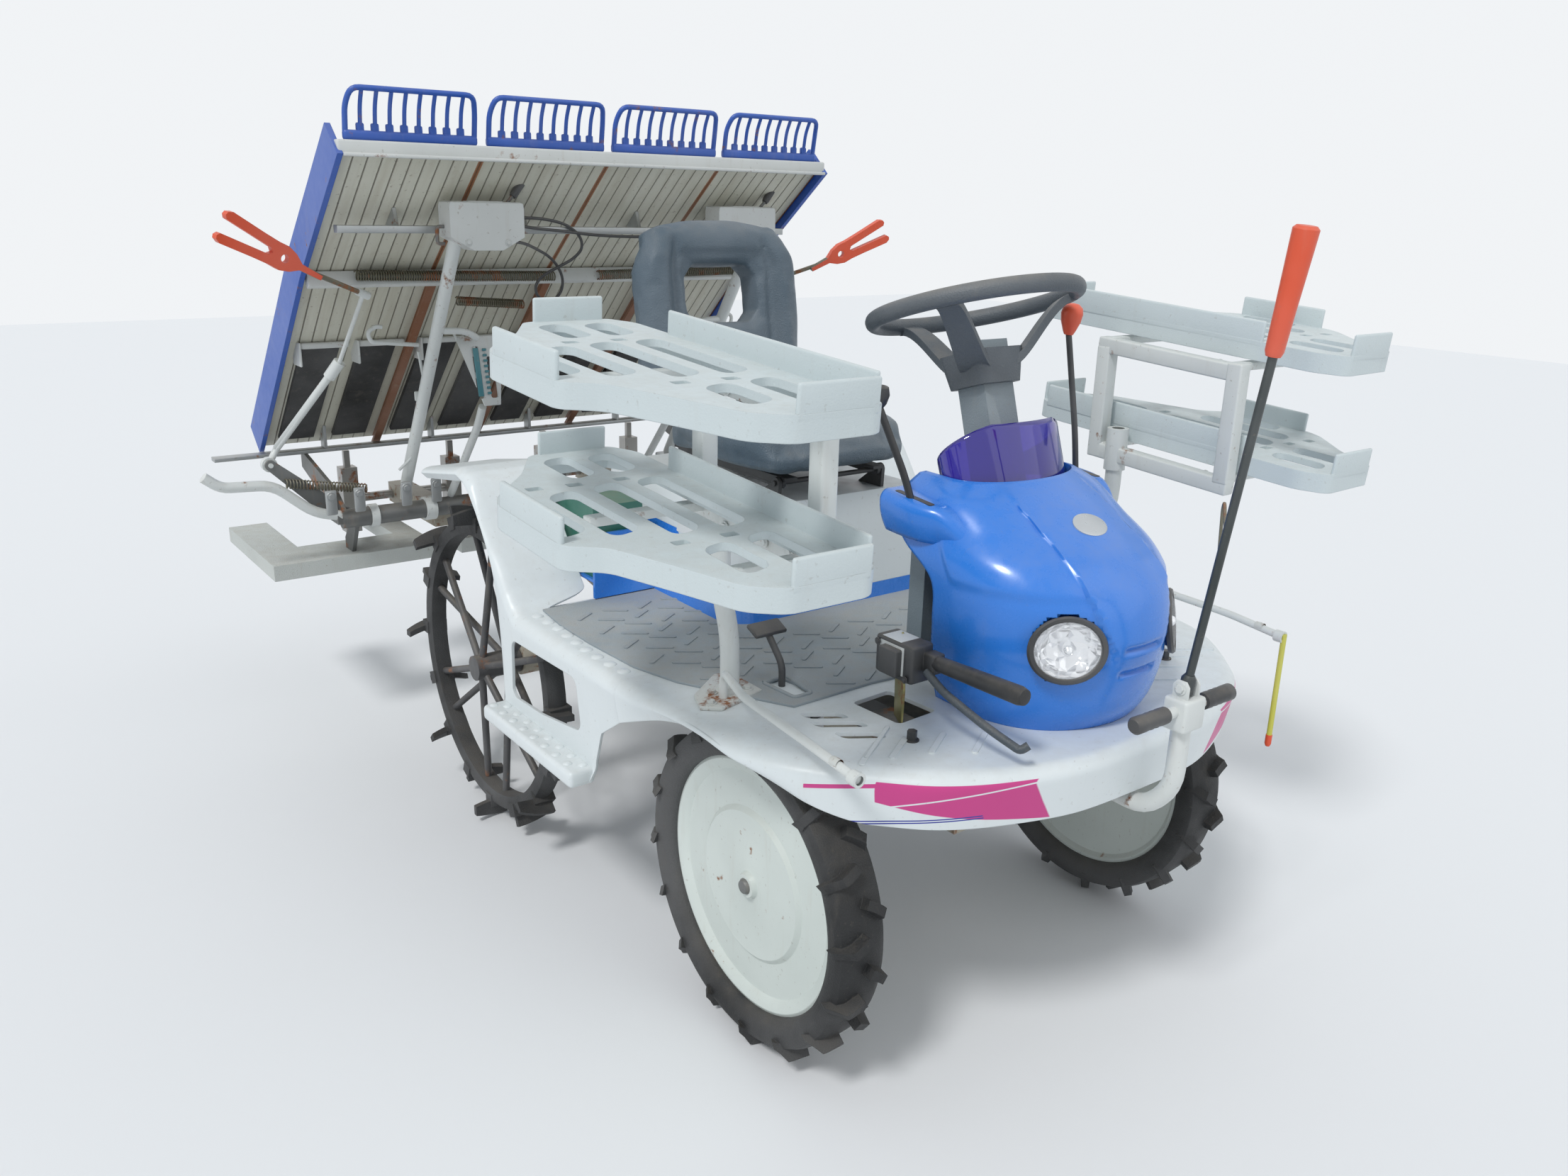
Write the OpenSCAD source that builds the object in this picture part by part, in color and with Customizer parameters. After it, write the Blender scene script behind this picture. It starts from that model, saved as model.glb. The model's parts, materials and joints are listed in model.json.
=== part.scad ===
// Riding rice transplanter for four rows, standing with its planting unit raised.
// +X is the machine's left, +Y its rear and +Z up. Heights are from the ground,
// and lengths along the machine are from the rear axle until placed() moves them.

/* [Wheels] */
// Distance between the axles
wheelbase = 967; // [900:1:1050]
// Front wheel radius, over the lugs
front_r = 291; // [280:1:300]
// Front wheel centre, from the middle of the machine
front_x = 430; // [425:1:440]
// Front tyre width
front_tyre_w = 94; // [80:1:100]
// Front disc radius
front_disc_r = 223; // [205:1:228]
// Rear wheel radius, over the lugs
rear_r = 368; // [355:1:372]
// Rear wheel centre, from the middle of the machine
rear_x = 473; // [465:1:476]
// Rear wheel width, over the paddle lugs
rear_lug_w = 126; // [100:1:130]
// Paddle lugs on each rear wheel
rear_lugs = 16; // [12:2:20]
// Lugs on each side of a front tyre
front_lugs = 16; // [12:1:20]
// Steering axis of a front wheel, from the middle of the machine
kingpin_x = 336; // [326:1:340]

/* [Deck] */
// Height of the deck's top
deck_z = 602; // [600:1:620]
// Thickness of the moulded deck and fenders
shell_t = 8; // [5:1:9]
// Half width of the deck at its front corners
deck_front_x = 375; // [360:1:400]
// Half width of the deck between the wheels
deck_mid_x = 450; // [440:1:470]
// Front tip of the deck, forward of the rear axle
deck_tip_y = 1372; // [1360:1:1380]
// Depth of the deck's side skirt
skirt_h = 92; // [70:1:100]
// Outer face of the fender skirt
fender_x = 553; // [551:1:560]
// Top of the fender
fender_top_z = 852; // [840:1:870]

/* [Bonnet] */
// Half width of the bonnet at the lamps
bonnet_x = 214; // [205:1:225]
// Top of the bonnet's front lip
bonnet_top_z = 990; // [980:1:1010]
// Front of the bonnet at its foot, forward of the rear axle
bonnet_nose_y = 1345; // [1335:1:1350]
// Rear edge of the bonnet, forward of the rear axle
bonnet_back_y = 1000; // [980:1:1010]
// Wall of the bonnet
bonnet_t = 6; // [4:1:8]

/* [Controls] */
// Steering wheel radius
steer_r = 182; // [170:1:190]
// Steering wheel rim radius
steer_rim_r = 13; // [11:1:15]
// Height of the steering wheel's centre
steer_z = 1215; // [1200:1:1230]
// Steering wheel centre, forward of the rear axle
steer_y = 949; // [940:1:960]
// Lean of the steering column
steer_tilt = 17; // [14:1:20]

/* [Seat] */
// Seat cushion width
seat_w = 430; // [400:1:440]
// Seat cushion depth, front to back
seat_d = 440; // [410:1:450]
// Underside of the seat cushion
seat_z = 872; // [865:1:890]
// Seat cushion thickness
seat_t = 78; // [60:1:90]
// Top of the backrest
back_top_z = 1342; // [1320:1:1360]

/* [Seedling racks] */
// Length of a spare seedling tray
tray_l = 664; // [650:1:670]
// Width of a spare seedling tray
tray_w = 322; // [310:1:330]
// Depth of a tray's edge
tray_h = 34; // [28:1:40]
// Height of a tray's walls above its floor
tray_wall_h = 36; // [30:1:45]
// Inner edge of the trays, from the middle of the machine
tray_x = 502; // [496:1:510]
// Floor of the lower tray
tray_z = 962; // [955:1:975]
// Step between the two trays
tray_step = 205; // [195:1:220]
// Nose-down pitch of the trays
tray_pitch = 3.8; // [2:0.1:5]

/* [Planting unit] */
// Rows that the unit plants
rows = 4; // [4:1:4]
// Distance between rows
row_pitch = 300; // [300:1:300]
// Where the table stands in its side travel, to the machine's right
table_shift = 67; // [40:1:90]
// Bottom of the table, rearward of the rear axle
table_foot_y = 987; // [980:1:995]
// Bottom of the table, height
table_foot_z = 711; // [705:1:720]
// Bend of the table, rearward of the rear axle
table_bend_y = 469; // [460:1:480]
// Bend of the table, height
table_bend_z = 1195; // [1185:1:1205]
// Top of the table, rearward of the rear axle
table_top_y = 141; // [135:1:150]
// Top of the table, height
table_top_z = 1450; // [1440:1:1460]
// Thickness of the table's ribbed board
table_t = 22; // [16:1:26]
// Planting rotor shaft, rearward of the rear axle
rotor_y = 985; // [980:1:990]
// Planting rotor shaft, height
rotor_z = 540; // [535:1:545]
// Reach of the planting claws
claw_r = 138; // [125:1:140]

/* [Hidden] */
$fn = 32;
// The model's origin lies on the ground at the middle of its box
rear_axle_y = 217;
clear = 0.3;
run = 0.05;
deck_under_z = deck_z - shell_t;
deck_wide_x = fender_x - 52;
rail_x = 115;
rail_w = 50;
rail_z = 480;
rail_top = rail_z + rail_w;
rail_front_y = -1240;
rail_rear_y = 100;
axle_tube_z = 425;
front_axle = [-wheelbase, front_r];
link_pin_r = 8;
// Pins of the lift linkage, along the machine and up
low_pin = [120, 455];
low_pin_rear = [560, 545];
top_pin = [150, 640];
top_pin_rear = top_pin + low_pin_rear - low_pin;
lever_tip = [110, 560];
lift_x = 40;
barrel_pin = [-300, 500];
barrel_l = 280;
seat_pin = [-590, 860];
rack_pin = [472, -905];
rack_pin_r = 12;
marker_pin = [464, -905];
post_top_z = 880;
steer_hub = [0, -steer_y, steer_z];
column_gap = 2;
pole_pin = [-1437, 706];
handle_z = 671;
grip_r = 13;
half_table = row_pitch * rows / 2;
unit_beam = [640, 575];
unit_mast_x = 22;
arm_pin = [728, 690, 723];
rail_y = 950;
rail_under = 690;

// Lengths in the modules run from the rear axle
module placed() translate([0, rear_axle_y, 0]) children();

module both_sides() {
    children();
    mirror([1, 0, 0]) children();
}

// Drawn on the machine's left, s = -1 puts it on the right
module side(s) {
    if (s > 0) children();
    else mirror([1, 0, 0]) children();
}

// A round bar from a to b
module rod(a, b, r) {
    v = b - a;
    translate(a)
        rotate([0, acos(v[2] / norm(v)), atan2(v[1], v[0])])
            cylinder(h = norm(v), r = r);
}

// A round bar or tube bent through points, with a ball a little fuller at each bend
module bent_rod(points, r) {
    for (i = [0:len(points) - 2]) {
        rod(points[i], points[i + 1], r);
        if (i > 0) translate(points[i]) sphere(r = r * 1.06);
    }
}

// A round bar across the machine at p = [along, up]
module cross_rod(x0, x1, p, r)
    translate([x0, p[0], p[1]]) rotate([0, 90, 0]) cylinder(h = x1 - x0, r = r);

// A plate from x0 to x1 whose outline is drawn along the machine and up
module side_plate(x0, x1)
    translate([x0, 0, 0]) rotate([90, 0, 90]) linear_extrude(x1 - x0) children();

// The outline of a link with round ends between two points
module link_outline(a, b, r) {
    v = b - a;
    translate(a) circle(r = r);
    translate(b) circle(r = r);
    translate(a) rotate(atan2(v[1], v[0])) translate([0, 0.3 - r]) square([norm(v), 2 * r - 0.6]);
}

module slab(x, y, z) // each [low, high]
    translate([x[0], y[0], z[0]]) cube([x[1] - x[0], y[1] - y[0], z[1] - z[0]]);

// Chassis

module frame_rails() placed() color("dimgray") difference() {
    inner = rail_x - rail_w / 2;
    outer = rail_x + rail_w / 2;
    union() {
        both_sides() {
            slab([inner, outer], [rail_front_y, rail_rear_y], [rail_z, rail_top]);
            // Deck hangers, then the uprights of the upper link's arch
            for (y = [-1180, -700, -420]) slab([inner, outer], [y, y + 40], [rail_top, deck_under_z]);
            slab([inner + 10, outer - 4], [60, rail_rear_y], [rail_top, 670]);
            for (x = [rail_x - 17, rail_x + 9])
                side_plate(x, x + 8) {
                    translate(low_pin) circle(r = 20);
                    polygon([[40, rail_z + 1], [100, rail_z + 1], low_pin + [20, 0], low_pin - [16, 16]]);
                }
        }
        for (y = [rail_front_y, -860, -400]) slab([-inner - 1, inner + 1], [y, y + 40], [rail_z, rail_top]);
        slab([-inner - 12, inner + 12], [60, rail_rear_y], [625, 670]);
        both_sides() side_plate(unit_mast_x - 5, unit_mast_x + 3) {
            translate(top_pin) circle(r = 18);
            polygon([[90, 626], top_pin - [0, 18], top_pin + [0, 18], [90, 669]]);
        }
        for (x = [lift_x - 22, lift_x + 40])
            side_plate(x, x + 11) {
                translate(barrel_pin) circle(r = 16);
                polygon([[-402, rail_z], [-362, rail_z], barrel_pin - [0, 16], barrel_pin + [0, 16], [-402, rail_top]]);
            }
    }
    cross_rod(-150, 150, low_pin, link_pin_r + run);
    cross_rod(-60, 60, top_pin, link_pin_r + run);
    cross_rod(0, 97, barrel_pin, 6 + run);
}

module engine_block() placed() color("gray")
    slab([-86, 86], [-1230, -1035], [rail_top + clear, 800]);

module drive_case() placed() color("tan") difference() {
    union() {
        slab([-88, 88], [-wheelbase - 110, -wheelbase + 260], [320, rail_z]);
        cross_rod(-kingpin_x, kingpin_x, [-wheelbase, axle_tube_z], 36);
        for (s = [-1, 1])
            translate([s * kingpin_x, -wheelbase, axle_tube_z - 40]) cylinder(h = 80, r = 32);
    }
    for (s = [-1, 1])
        translate([s * kingpin_x, -wheelbase, axle_tube_z - 60])
            cylinder(h = 120, r = 14 + run);
}

module rear_axle_case() placed() color("tan") difference() {
    union() {
        cross_rod(-rear_x + 66, rear_x - 66, [0, rear_r], 36);
        slab([-96, 96], [-90, 90], [rear_r - 75, rear_r + 72]);
        both_sides() slab([rail_x - 18, rail_x + 18], [-34, 34], [rear_r, rail_z]);
    }
    both_sides() cross_rod(rear_x - 130, rear_x, [0, rear_r], 18 + run);
}

// Half outline of the deck's top: distance from the middle, along the machine
function deck_half(out = 0, tip = 0) = [
    [150, -deck_tip_y - tip], [300, -deck_tip_y + 34 - tip * 0.7],
    [deck_front_x + out, -deck_tip_y + 92], [deck_mid_x + out, -760],
    [deck_wide_x + out, -620], [deck_wide_x + out, -330]
];
function mirrored(half) = concat(
    half, [for (i = [len(half) - 1:-1:0]) [-half[i][0], half[i][1]]]);

module deck_form(inset = 0) hull() {
    translate([0, 0, deck_z - 2 - inset])
        linear_extrude(2) offset(delta = -inset) polygon(mirrored(deck_half()));
    translate([0, 0, deck_z - skirt_h - (inset > 0 ? 1 : 0)])
        linear_extrude(2) offset(delta = -inset) polygon(mirrored(deck_half(38, 16)));
}

module deck() placed() color("white") difference() {
    deck_form();
    deck_form(shell_t);
    both_sides() {
        cross_rod(378, 600, front_axle, front_r + 24);
        slab([deck_wide_x, 700], [-740, 0], [0, 700]);
        slab([300, 700], [-740, 0], [0, deck_under_z]);
        slab([394, 700], [-342.3, 0], [0, 700]);
    }
    slab([-700, 700], [-342, -200], [0, deck_under_z]);
    slab([-165, 165], [-1260, -1015], [0, 700]);
}

module floor_mat() placed() color("silver")
    translate([0, 0, deck_z])
        linear_extrude(6) difference() {
            polygon(mirrored([[262, -930], [366, -903], [396, -840], [437, -709], [478, -600], [488, -420], [488, -354]]));
            offset(delta = 1) seat_outline(0);
            both_sides() translate([398, -1000]) square([200, 152]);
            square([2 * 222, 2 * 1000], center = true);
        }

// Bonnet outline at one height: a round nose and straight sides
function nose(w, front, back, n = 12) = concat(
    [for (i = [0:n]) let (a = 180 * i / n)
        [w * cos(a), back - 60 - (back - 60 - front) * pow(sin(a), 0.8)]],
    [[-w, back], [w, back]]);

// Height, half width, front and back of the bonnet's sections
bonnet_sections = [
    [deck_z, bonnet_x - 16, -bonnet_nose_y + 14, -bonnet_back_y - 22],
    [690, bonnet_x, -bonnet_nose_y, -bonnet_back_y - 12],
    [800, bonnet_x - 6, -bonnet_nose_y + 36, -bonnet_back_y],
    [900, bonnet_x - 28, -bonnet_nose_y + 92, -bonnet_back_y],
    [bonnet_top_z, 118, -1190, -bonnet_back_y - 50]
];

module bonnet_form(inset = 0) hull() for (s = bonnet_sections)
    translate([0, 0, s[0] - (s[0] == deck_z ? (inset > 0 ? 1 : 0) : inset)])
        linear_extrude(1)
            polygon(nose(s[1] - inset, s[2] + inset, s[3] - (inset > 0 ? inset : 0)));

module lamp(grow = 0, depth = 16) translate([124, -1306, 751])
    rotate([74, 0, 14]) translate([0, 0, -depth / 2])
        linear_extrude(depth) scale([1, 0.8]) circle(r = 52 + grow);

module bonnet() placed() color("dodgerblue") difference() {
    bonnet_form();
    bonnet_form(bonnet_t);
    translate([0, -1112, 900]) linear_extrude(120) scale([1, 0.6]) circle(r = 100);
    both_sides() lamp(clear, 60);
    translate(steer_hub) rotate([-steer_tilt, 0, 0]) translate([-37, -33, -420]) cube([74, 66, 420]);
    slab([-33, 33], [-1073, -900], [877, 903]);
}

module meter_visor() placed() color("indigo") difference() {
    translate([0, -1112, bonnet_top_z - 30]) linear_extrude(85) scale([1, 0.6]) circle(r = 99.7);
    translate([0, -1112, bonnet_top_z - 31]) linear_extrude(88) scale([1, 0.6]) circle(r = 95);
    slab([-120, 120], [-1100, -1000], [900, 1100]);
}

module headlamps() placed() color("white") both_sides() lamp(0, 24);

module column_cover() placed() color("lightgray") difference() {
    union() {
        slab([-120, 120], [-996, -960], [deck_z, 905]);
        slab([-30, 30], [-1110, -1040], [800 + 2 * clear, 850]);
        slab([-30, 30], [-1070, -960], [880, 900]);
        translate(steer_hub) rotate([-steer_tilt, 0, 0])
            translate([-34, -30, -400]) cube([68, 60, 340]);
    }
    translate(steer_hub) rotate([-steer_tilt, 0, 0])
        translate([0, 0, -110]) cylinder(h = 60, r = 12 + run);
}

// Half outline of the seat base at its foot
module seat_outline(up) hull() {
    r = 60 - 10 * up;
    for (s = [-1, 1]) {
        translate([s * (200 - 40 * up), -580 + 20 * up + 60 * 0]) circle(r = r);
        translate([s * (200 - 40 * up) - r, -120]) square([2 * r, 20]);
    }
}

module seat_shell() difference() {
    hull() {
        translate([0, 0, deck_z]) linear_extrude(1) seat_outline(0);
        translate([0, 0, 823]) linear_extrude(1) seat_outline(1);
    }
    hull() {
        translate([0, 0, deck_z - 1]) linear_extrude(1) offset(delta = -6) seat_outline(0);
        translate([0, 0, 816]) linear_extrude(1) offset(delta = -6) seat_outline(1);
    }
}

// Where the white base ends and the blue cover begins, seen from the side
seat_split = [[-700, 632], [-520, 644], [-390, 740], [0, 752]];

module seat_base() placed() color("white") intersection() {
    seat_shell();
    side_plate(-300, 300) polygon(concat(seat_split, [[0, 900], [-700, 900]]));
}

module under_cover() placed() color("royalblue") {
    intersection() {
        seat_shell();
        side_plate(-300, 300) polygon(concat(seat_split, [[0, 500], [-700, 500]]));
    }
    both_sides() {
        slab([252, 395.7], [-352, -344], [deck_z + 6 + clear, 740]);
        slab([258, 395.7], [-344.1, -160], [640, 646]);
    }
}

// Fender profile along the machine and up: the splash panel and its top
fender_line = [[-342, deck_z], [-290, 656], [-214, 756], [-168, 826], [-112, fender_top_z - 6], [84, 814]];

module fender_skirt() difference() {
    polygon([[84, 790], [-112, fender_top_z - 30], [-268, 640], [-258, 584], [-270, 410],
        [-266, 366], [-640, 366], [-648, 400], [-690, 480], [-738, 520], [-738, deck_z],
        [-342, deck_z], [-290, 656], [-214, 756], [-168, 826], [-112, fender_top_z - 6], [84, 814]]);
    polygon([[-338, 550], [-590, 560], [-600, 440], [-320, 424]]);
}

module fenders() placed() color("white") both_sides() {
    side_plate(fender_x - shell_t, fender_x) fender_skirt();
    side_plate(402 - 6, fender_x - 1)
        polygon(concat(fender_line, [for (i = [len(fender_line) - 1:-1:0])
            fender_line[i] + [5, -8]]));
    side_plate(396, 402) polygon(concat(
        fender_line, [[84, 790], [-112, fender_top_z - 34], [-150, 800], [-262, 650], [-290, deck_z]]));
    slab([deck_wide_x + clear, fender_x - 1], [-737, -338], [deck_under_z, deck_z - 0.5]);
    slab([fender_x - 1, fender_x + 56], [-640, -268], [372, 400]);
}

module front_bumper() placed() color("white") difference() {
    union() {
        bent_rod([[0, rail_front_y - 4, 492], [0, -1398, 488], [0, -1437, 540], [0, -1437, 652]], 15);
        slab([-60, 60], [rail_front_y - 8, rail_front_y - clear], [rail_z, rail_top]);
        // The pole's socket block, with the cross handle and its two grips
        slab([-24, 24], [-1457, -1417], [642, 690]);
        cross_rod(-118, 118, [-1437, handle_z], 9);
        for (x = [-118, 46]) cross_rod(x, x + 72, [-1437, handle_z], grip_r);
        both_sides() side_plate(10, 15) {
            translate(pole_pin) circle(r = 12);
            translate([pole_pin[0] - 12, 680]) square([24, pole_pin[1] - 680]);
        }
    }
    cross_rod(-40, 40, pole_pin, 4 + run);
}

module rack_posts() placed() color("white") both_sides() difference() {
    union() {
        bent_rod([[436, -882, deck_z + 3], [436, -882, 700], [rack_pin[0], rack_pin[1], 800],
            [rack_pin[0], rack_pin[1], post_top_z]], 16);
        translate([rack_pin[0], rack_pin[1], post_top_z - 1]) cylinder(h = 76, r = rack_pin_r);
        slab([400, 470], [-925, -850], [deck_z, deck_z + 6]);
    }
    translate([marker_pin[0], marker_pin[1], deck_z - 5]) cylinder(h = 20, r = 7 + run);
}

module hand_controls() placed() color("black") {
    slab([-262, -250], [-1130, -1070], [deck_z, 690]);
    slab([-290, -240], [-1150, -1060], [680, 730]);
    rod([-262, -1120, 706], [-240, -1330, 716], 12);
    bent_rod([[-190, -985, deck_z + 1], [-225, -985, 960], [-220, -960, 1080]], 6);
    bent_rod([[150, -980, deck_z], [150, -980, 960], [150, -1025, 1190]], 5);
    translate([150, -1025, 1200]) sphere(r = 18);
}

module battery_box() placed() color("seagreen") slab([-388, -276], [-336, -166], [646, 792]);

module seat_mount() placed() color("black") difference() {
    both_sides() side_plate(126, 134) {
        translate(seat_pin) circle(r = 12);
        polygon([[-600, 824 + clear], [-530, 824 + clear], seat_pin + [12, 0], seat_pin - [12, 0]]);
    }
    cross_rod(-150, 150, seat_pin, 5 + run);
}

// Steering

module steering_wheel() placed() color("dimgray") translate(steer_hub) rotate([-steer_tilt, 0, 0]) {
    rotate_extrude($fn = 64) translate([steer_r - steer_rim_r, 0]) circle(r = steer_rim_r);
    translate([0, 0, -58]) cylinder(h = 40, r = 34);
    translate([0, 0, -100]) cylinder(h = 50, r = 12);
    for (a = [90, 210, 330])
        rotate([0, 0, a]) rod([20, 0, -36], [steer_r - steer_rim_r, 0, 0], 9);
}

module knuckle(s) placed() side(s) color("tan") {
    translate([kingpin_x, -wheelbase, front_r - 34])
        cylinder(h = axle_tube_z - 40 - clear - front_r + 34, r = 30);
    translate([kingpin_x, -wheelbase, front_r]) cylinder(h = axle_tube_z + 44 - front_r, r = 14);
    translate([kingpin_x, -wheelbase, axle_tube_z + 40 + clear]) cylinder(h = 8, r = 24);
    cross_rod(kingpin_x, front_x + 14, front_axle, 22);
}

// Front disc outline: radius, then distance outwards from the wheel's middle
disc_outline = [
    [22 + run, 18], [44, 18], [56, 6], [150, 10], [front_disc_r - 36, 22],
    [front_disc_r - 14, 32], [front_disc_r, 32], [front_disc_r, -32],
    [front_disc_r - 5, -32], [front_disc_r - 5, 24], [front_disc_r - 40, 15],
    [150, 4], [60, 0], [46, -30], [22 + run, -30]
];

module front_disc(s) placed() side(s) color("whitesmoke")
    translate([front_x, -wheelbase, front_r]) rotate([0, 90, 0])
        rotate_extrude($fn = 64) polygon(disc_outline);

module front_tyre(s) placed() side(s) color("black")
    translate([front_x, -wheelbase, front_r]) rotate([0, 90, 0]) {
        w = front_tyre_w / 2;
        rotate_extrude($fn = 64) polygon([
            [front_disc_r, -w + 8], [front_r - 30, -w], [front_r - 18, -w + 12],
            [front_r - 18, w - 12], [front_r - 30, w], [front_disc_r, w - 8]
        ]);
        for (i = [0:front_lugs - 1], t = [-1, 1])
            rotate([0, 0, (i + t * 0.25) * 360 / front_lugs])
                translate([front_r - 24, 0, t * w / 2]) rotate([t * 28, 0, 0])
                    translate([0, -9, -w / 2 + 2]) cube([23, 18, w - 8]);
    }

ring_r = rear_r - 58;

module rear_wheel(s) placed() side(s) color("dimgray")
    translate([rear_x, 0, rear_r]) rotate([0, 90, 0]) {
        rotate_extrude($fn = 64) translate([ring_r, 0]) circle(r = 9);
        translate([0, 0, -65]) cylinder(h = 105, r = 28);
        translate([0, 0, -110]) cylinder(h = 50, r = 18);
        for (i = [0:5], t = [-1, 1])
            rotate([0, 0, i * 60 + t * 9])
                rod([22, 0, t * 30 - 10], [ring_r - 8, 0, 0], 8);
    }

module rear_tread(s) placed() side(s) color("black")
    translate([rear_x, 0, rear_r]) rotate([0, 90, 0]) {
        difference() {
            rotate_extrude($fn = 64) translate([ring_r - 14, -20]) square([40, 40]);
            rotate_extrude($fn = 64) translate([ring_r, 0]) circle(r = 9);
            rotate_extrude($fn = 64) translate([ring_r - 20, -10]) square([20, 20]);
        }
        for (i = [0:rear_lugs - 1])
            rotate([0, 0, i * 360 / rear_lugs])
                translate([ring_r + 20, -8, i % 2 == 0 ? -17 : -rear_lug_w / 2])
                    cube([rear_r - ring_r - 20.2, 16, rear_lug_w / 2 + 17]);
    }

// Seat

module seat_frame() placed() color("black") {
    both_sides() {
        side_plate(116, 124) {
            translate(seat_pin) circle(r = 11);
            polygon([seat_pin - [10, 0], seat_pin - [0, 10], [-230, seat_z - 14], [-230, seat_z - 6], [-600, seat_z - 6]]);
        }
        slab([96, 124], [-610, -215], [seat_z - 7, seat_z - clear]);
        back_seat() translate([60, -95, -68.3]) cube([40, 165, 6]);
    }
    slab([-100, 100], [-240, -188], [seat_z - 7, seat_z - clear]);
    cross_rod(-138, 138, seat_pin, 5);
}

module seat_cushion() placed() color("slategray")
    translate([0, -430, seat_z]) linear_extrude(seat_t)
        offset(r = 50) square([seat_w - 100, seat_d - 140], center = true);

// The foot of the backrest's front face
module back_seat() translate([0, -246, 957]) rotate([82, 0, 0]) children();

module seat_back() placed() color("slategray")
    back_seat()
        translate([0, 0, -62]) linear_extrude(56) difference() {
            translate([0, 195]) offset(r = 70) square([280, 246], center = true);
            translate([0, 205]) offset(r = 30) square([130, 100], center = true);
        }

// Spare seedling racks

module tray_plan() polygon([
    [0, -tray_l / 2 + 20], [20, -tray_l / 2], [150, -tray_l / 2], [190, -tray_l / 2 + 40],
    [tray_w - 40, -tray_l * 0.18], [tray_w, -tray_l * 0.12], [tray_w, tray_l * 0.17],
    [tray_w - 14, tray_l * 0.22], [tray_w - 150, tray_l / 2], [30, tray_l / 2],
    [0, tray_l / 2 - 60]
]);

// Slots: along from the tray's middle, across from its inner edge, length
tray_slot_table = [[-270, 60, 150], [-270, 120, 120], [-90, 60, 230], [-90, 130, 220], [-60, 210, 170], [180, 60, 110], [180, 130, 110]];

module tray() {
    difference() {
        linear_extrude(tray_h) tray_plan();
        translate([0, 0, -1]) linear_extrude(tray_h - 6) offset(delta = -7) tray_plan();
        translate([0, 0, -1]) linear_extrude(tray_h + 2)
            for (s = tray_slot_table) translate([s[1], s[0]]) square([36, s[2]]);
    }
    translate([0, -tray_l / 2 + 30, tray_h - 1]) cube([8, tray_l * 0.72, tray_wall_h]);
    translate([20, -tray_l / 2, tray_h - 1]) cube([130, 8, tray_wall_h]);
    translate([tray_w - 8, -tray_l * 0.10, tray_h - 1]) cube([8, tray_l * 0.27, tray_wall_h]);
    translate([30, tray_l / 2 - 8, tray_h - 1]) cube([130, 8, tray_wall_h]);
}

tray_mid_y = -991;

// Where a tray's frame stands; the same moulding serves both sides, turned about
module tray_seat(z) translate([tray_x, tray_mid_y, z]) rotate([tray_pitch, 0, 0]) children();

module rack_trays(s) placed() side(s) color("lightgray")
    for (i = [0, 1]) tray_seat(tray_z - tray_h + i * tray_step)
        if (s < 0) tray();
        else translate([0, 0, 0]) mirror([0, 1, 0]) tray();

module rack_frame(s) placed() side(s) color("white") difference() {
    x = [rack_pin[0] - 15, rack_pin[0] + 15];
    union() {
        for (y = [-1165, -875]) slab(x, [y, y + 30], [900, tray_z + tray_step - 60]);
        for (i = [0, 1]) tray_seat(tray_z - tray_h + i * tray_step)
            translate([x[0] + 1 - tray_x, -176, -46]) cube([x[1] - x[0] - 2, 322, 30]);
        translate([rack_pin[0], rack_pin[1], post_top_z + clear]) cylinder(h = 80, r = 20);
        for (i = [0, 1], y = [-160, 120])
            tray_seat(tray_z - tray_h + i * tray_step)
                translate([-40, y, -16]) cube([220, 24, 16 - clear]);
    }
    translate([rack_pin[0], rack_pin[1], post_top_z - 10]) cylinder(h = 100, r = rack_pin_r + run);
}

// Front pole and side markers

module mascot_pole() placed() translate([0, pole_pin[0], pole_pin[1]]) {
    color("darkslategray") {
        cross_rod(-9.7, 9.7, [0, 0], 11);
        cross_rod(-19, 19, [0, 0], 4);
        rotate([7, 0, 0]) cylinder(h = 500, r = 6);
    }
    rotate([7, 0, 0]) color("orangered") translate([0, 0, 499]) cylinder(h = 160, r1 = 13, r2 = 17);
}

module side_marker(s) placed() side(s) {
    color("white") bent_rod([
        [marker_pin[0], marker_pin[1], deck_z - 4], [marker_pin[0], marker_pin[1], 654],
        [508, -1030, 656], [508, -1290, 636]
    ], 7);
    if (s > 0) color("yellow") rod([508, -1294, 642], [508, -1294, 418], 5);
}

// Lift linkage

module lower_links() placed() color("gray") {
    both_sides() side_plate(rail_x - 8, rail_x + 8) link_outline(low_pin, low_pin_rear, 18);
    cross_rod(-rail_x - 20, rail_x + 20, low_pin, link_pin_r);
    both_sides() cross_rod(rail_x - 20, rail_x + 20, low_pin_rear, link_pin_r);
    cross_rod(-rail_x + 2, rail_x - 2, low_pin + (low_pin_rear - low_pin) * 0.6, 12);
    side_plate(lift_x - 8, lift_x + 3) link_outline(low_pin, lever_tip, 15);
    cross_rod(lift_x - 8, lift_x + 25, lever_tip, 6);
}

module upper_link() placed() color("gray") {
    side_plate(-unit_mast_x + 6, unit_mast_x - 6) link_outline(top_pin, top_pin_rear, 16);
    for (p = [top_pin, top_pin_rear]) cross_rod(-unit_mast_x - 6, unit_mast_x + 6, p, link_pin_r);
}

// A point on the lift cylinder's line, d from its base pin
lift_v = lever_tip - barrel_pin;
function lift_at(d) = [lift_x + 14, barrel_pin[0] + lift_v[0] * d / norm(lift_v), barrel_pin[1] + lift_v[1] * d / norm(lift_v)];

module lift_barrel() placed() color("dimgray") difference() {
    union() {
        rod(lift_at(20), lift_at(20 + barrel_l), 22);
        cross_rod(lift_x - 26, lift_x + 55, barrel_pin, 6);
        cross_rod(lift_x - 8, lift_x + 36, barrel_pin, 24);
    }
    rod(lift_at(120), lift_at(320), 9 + run);
}

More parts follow.
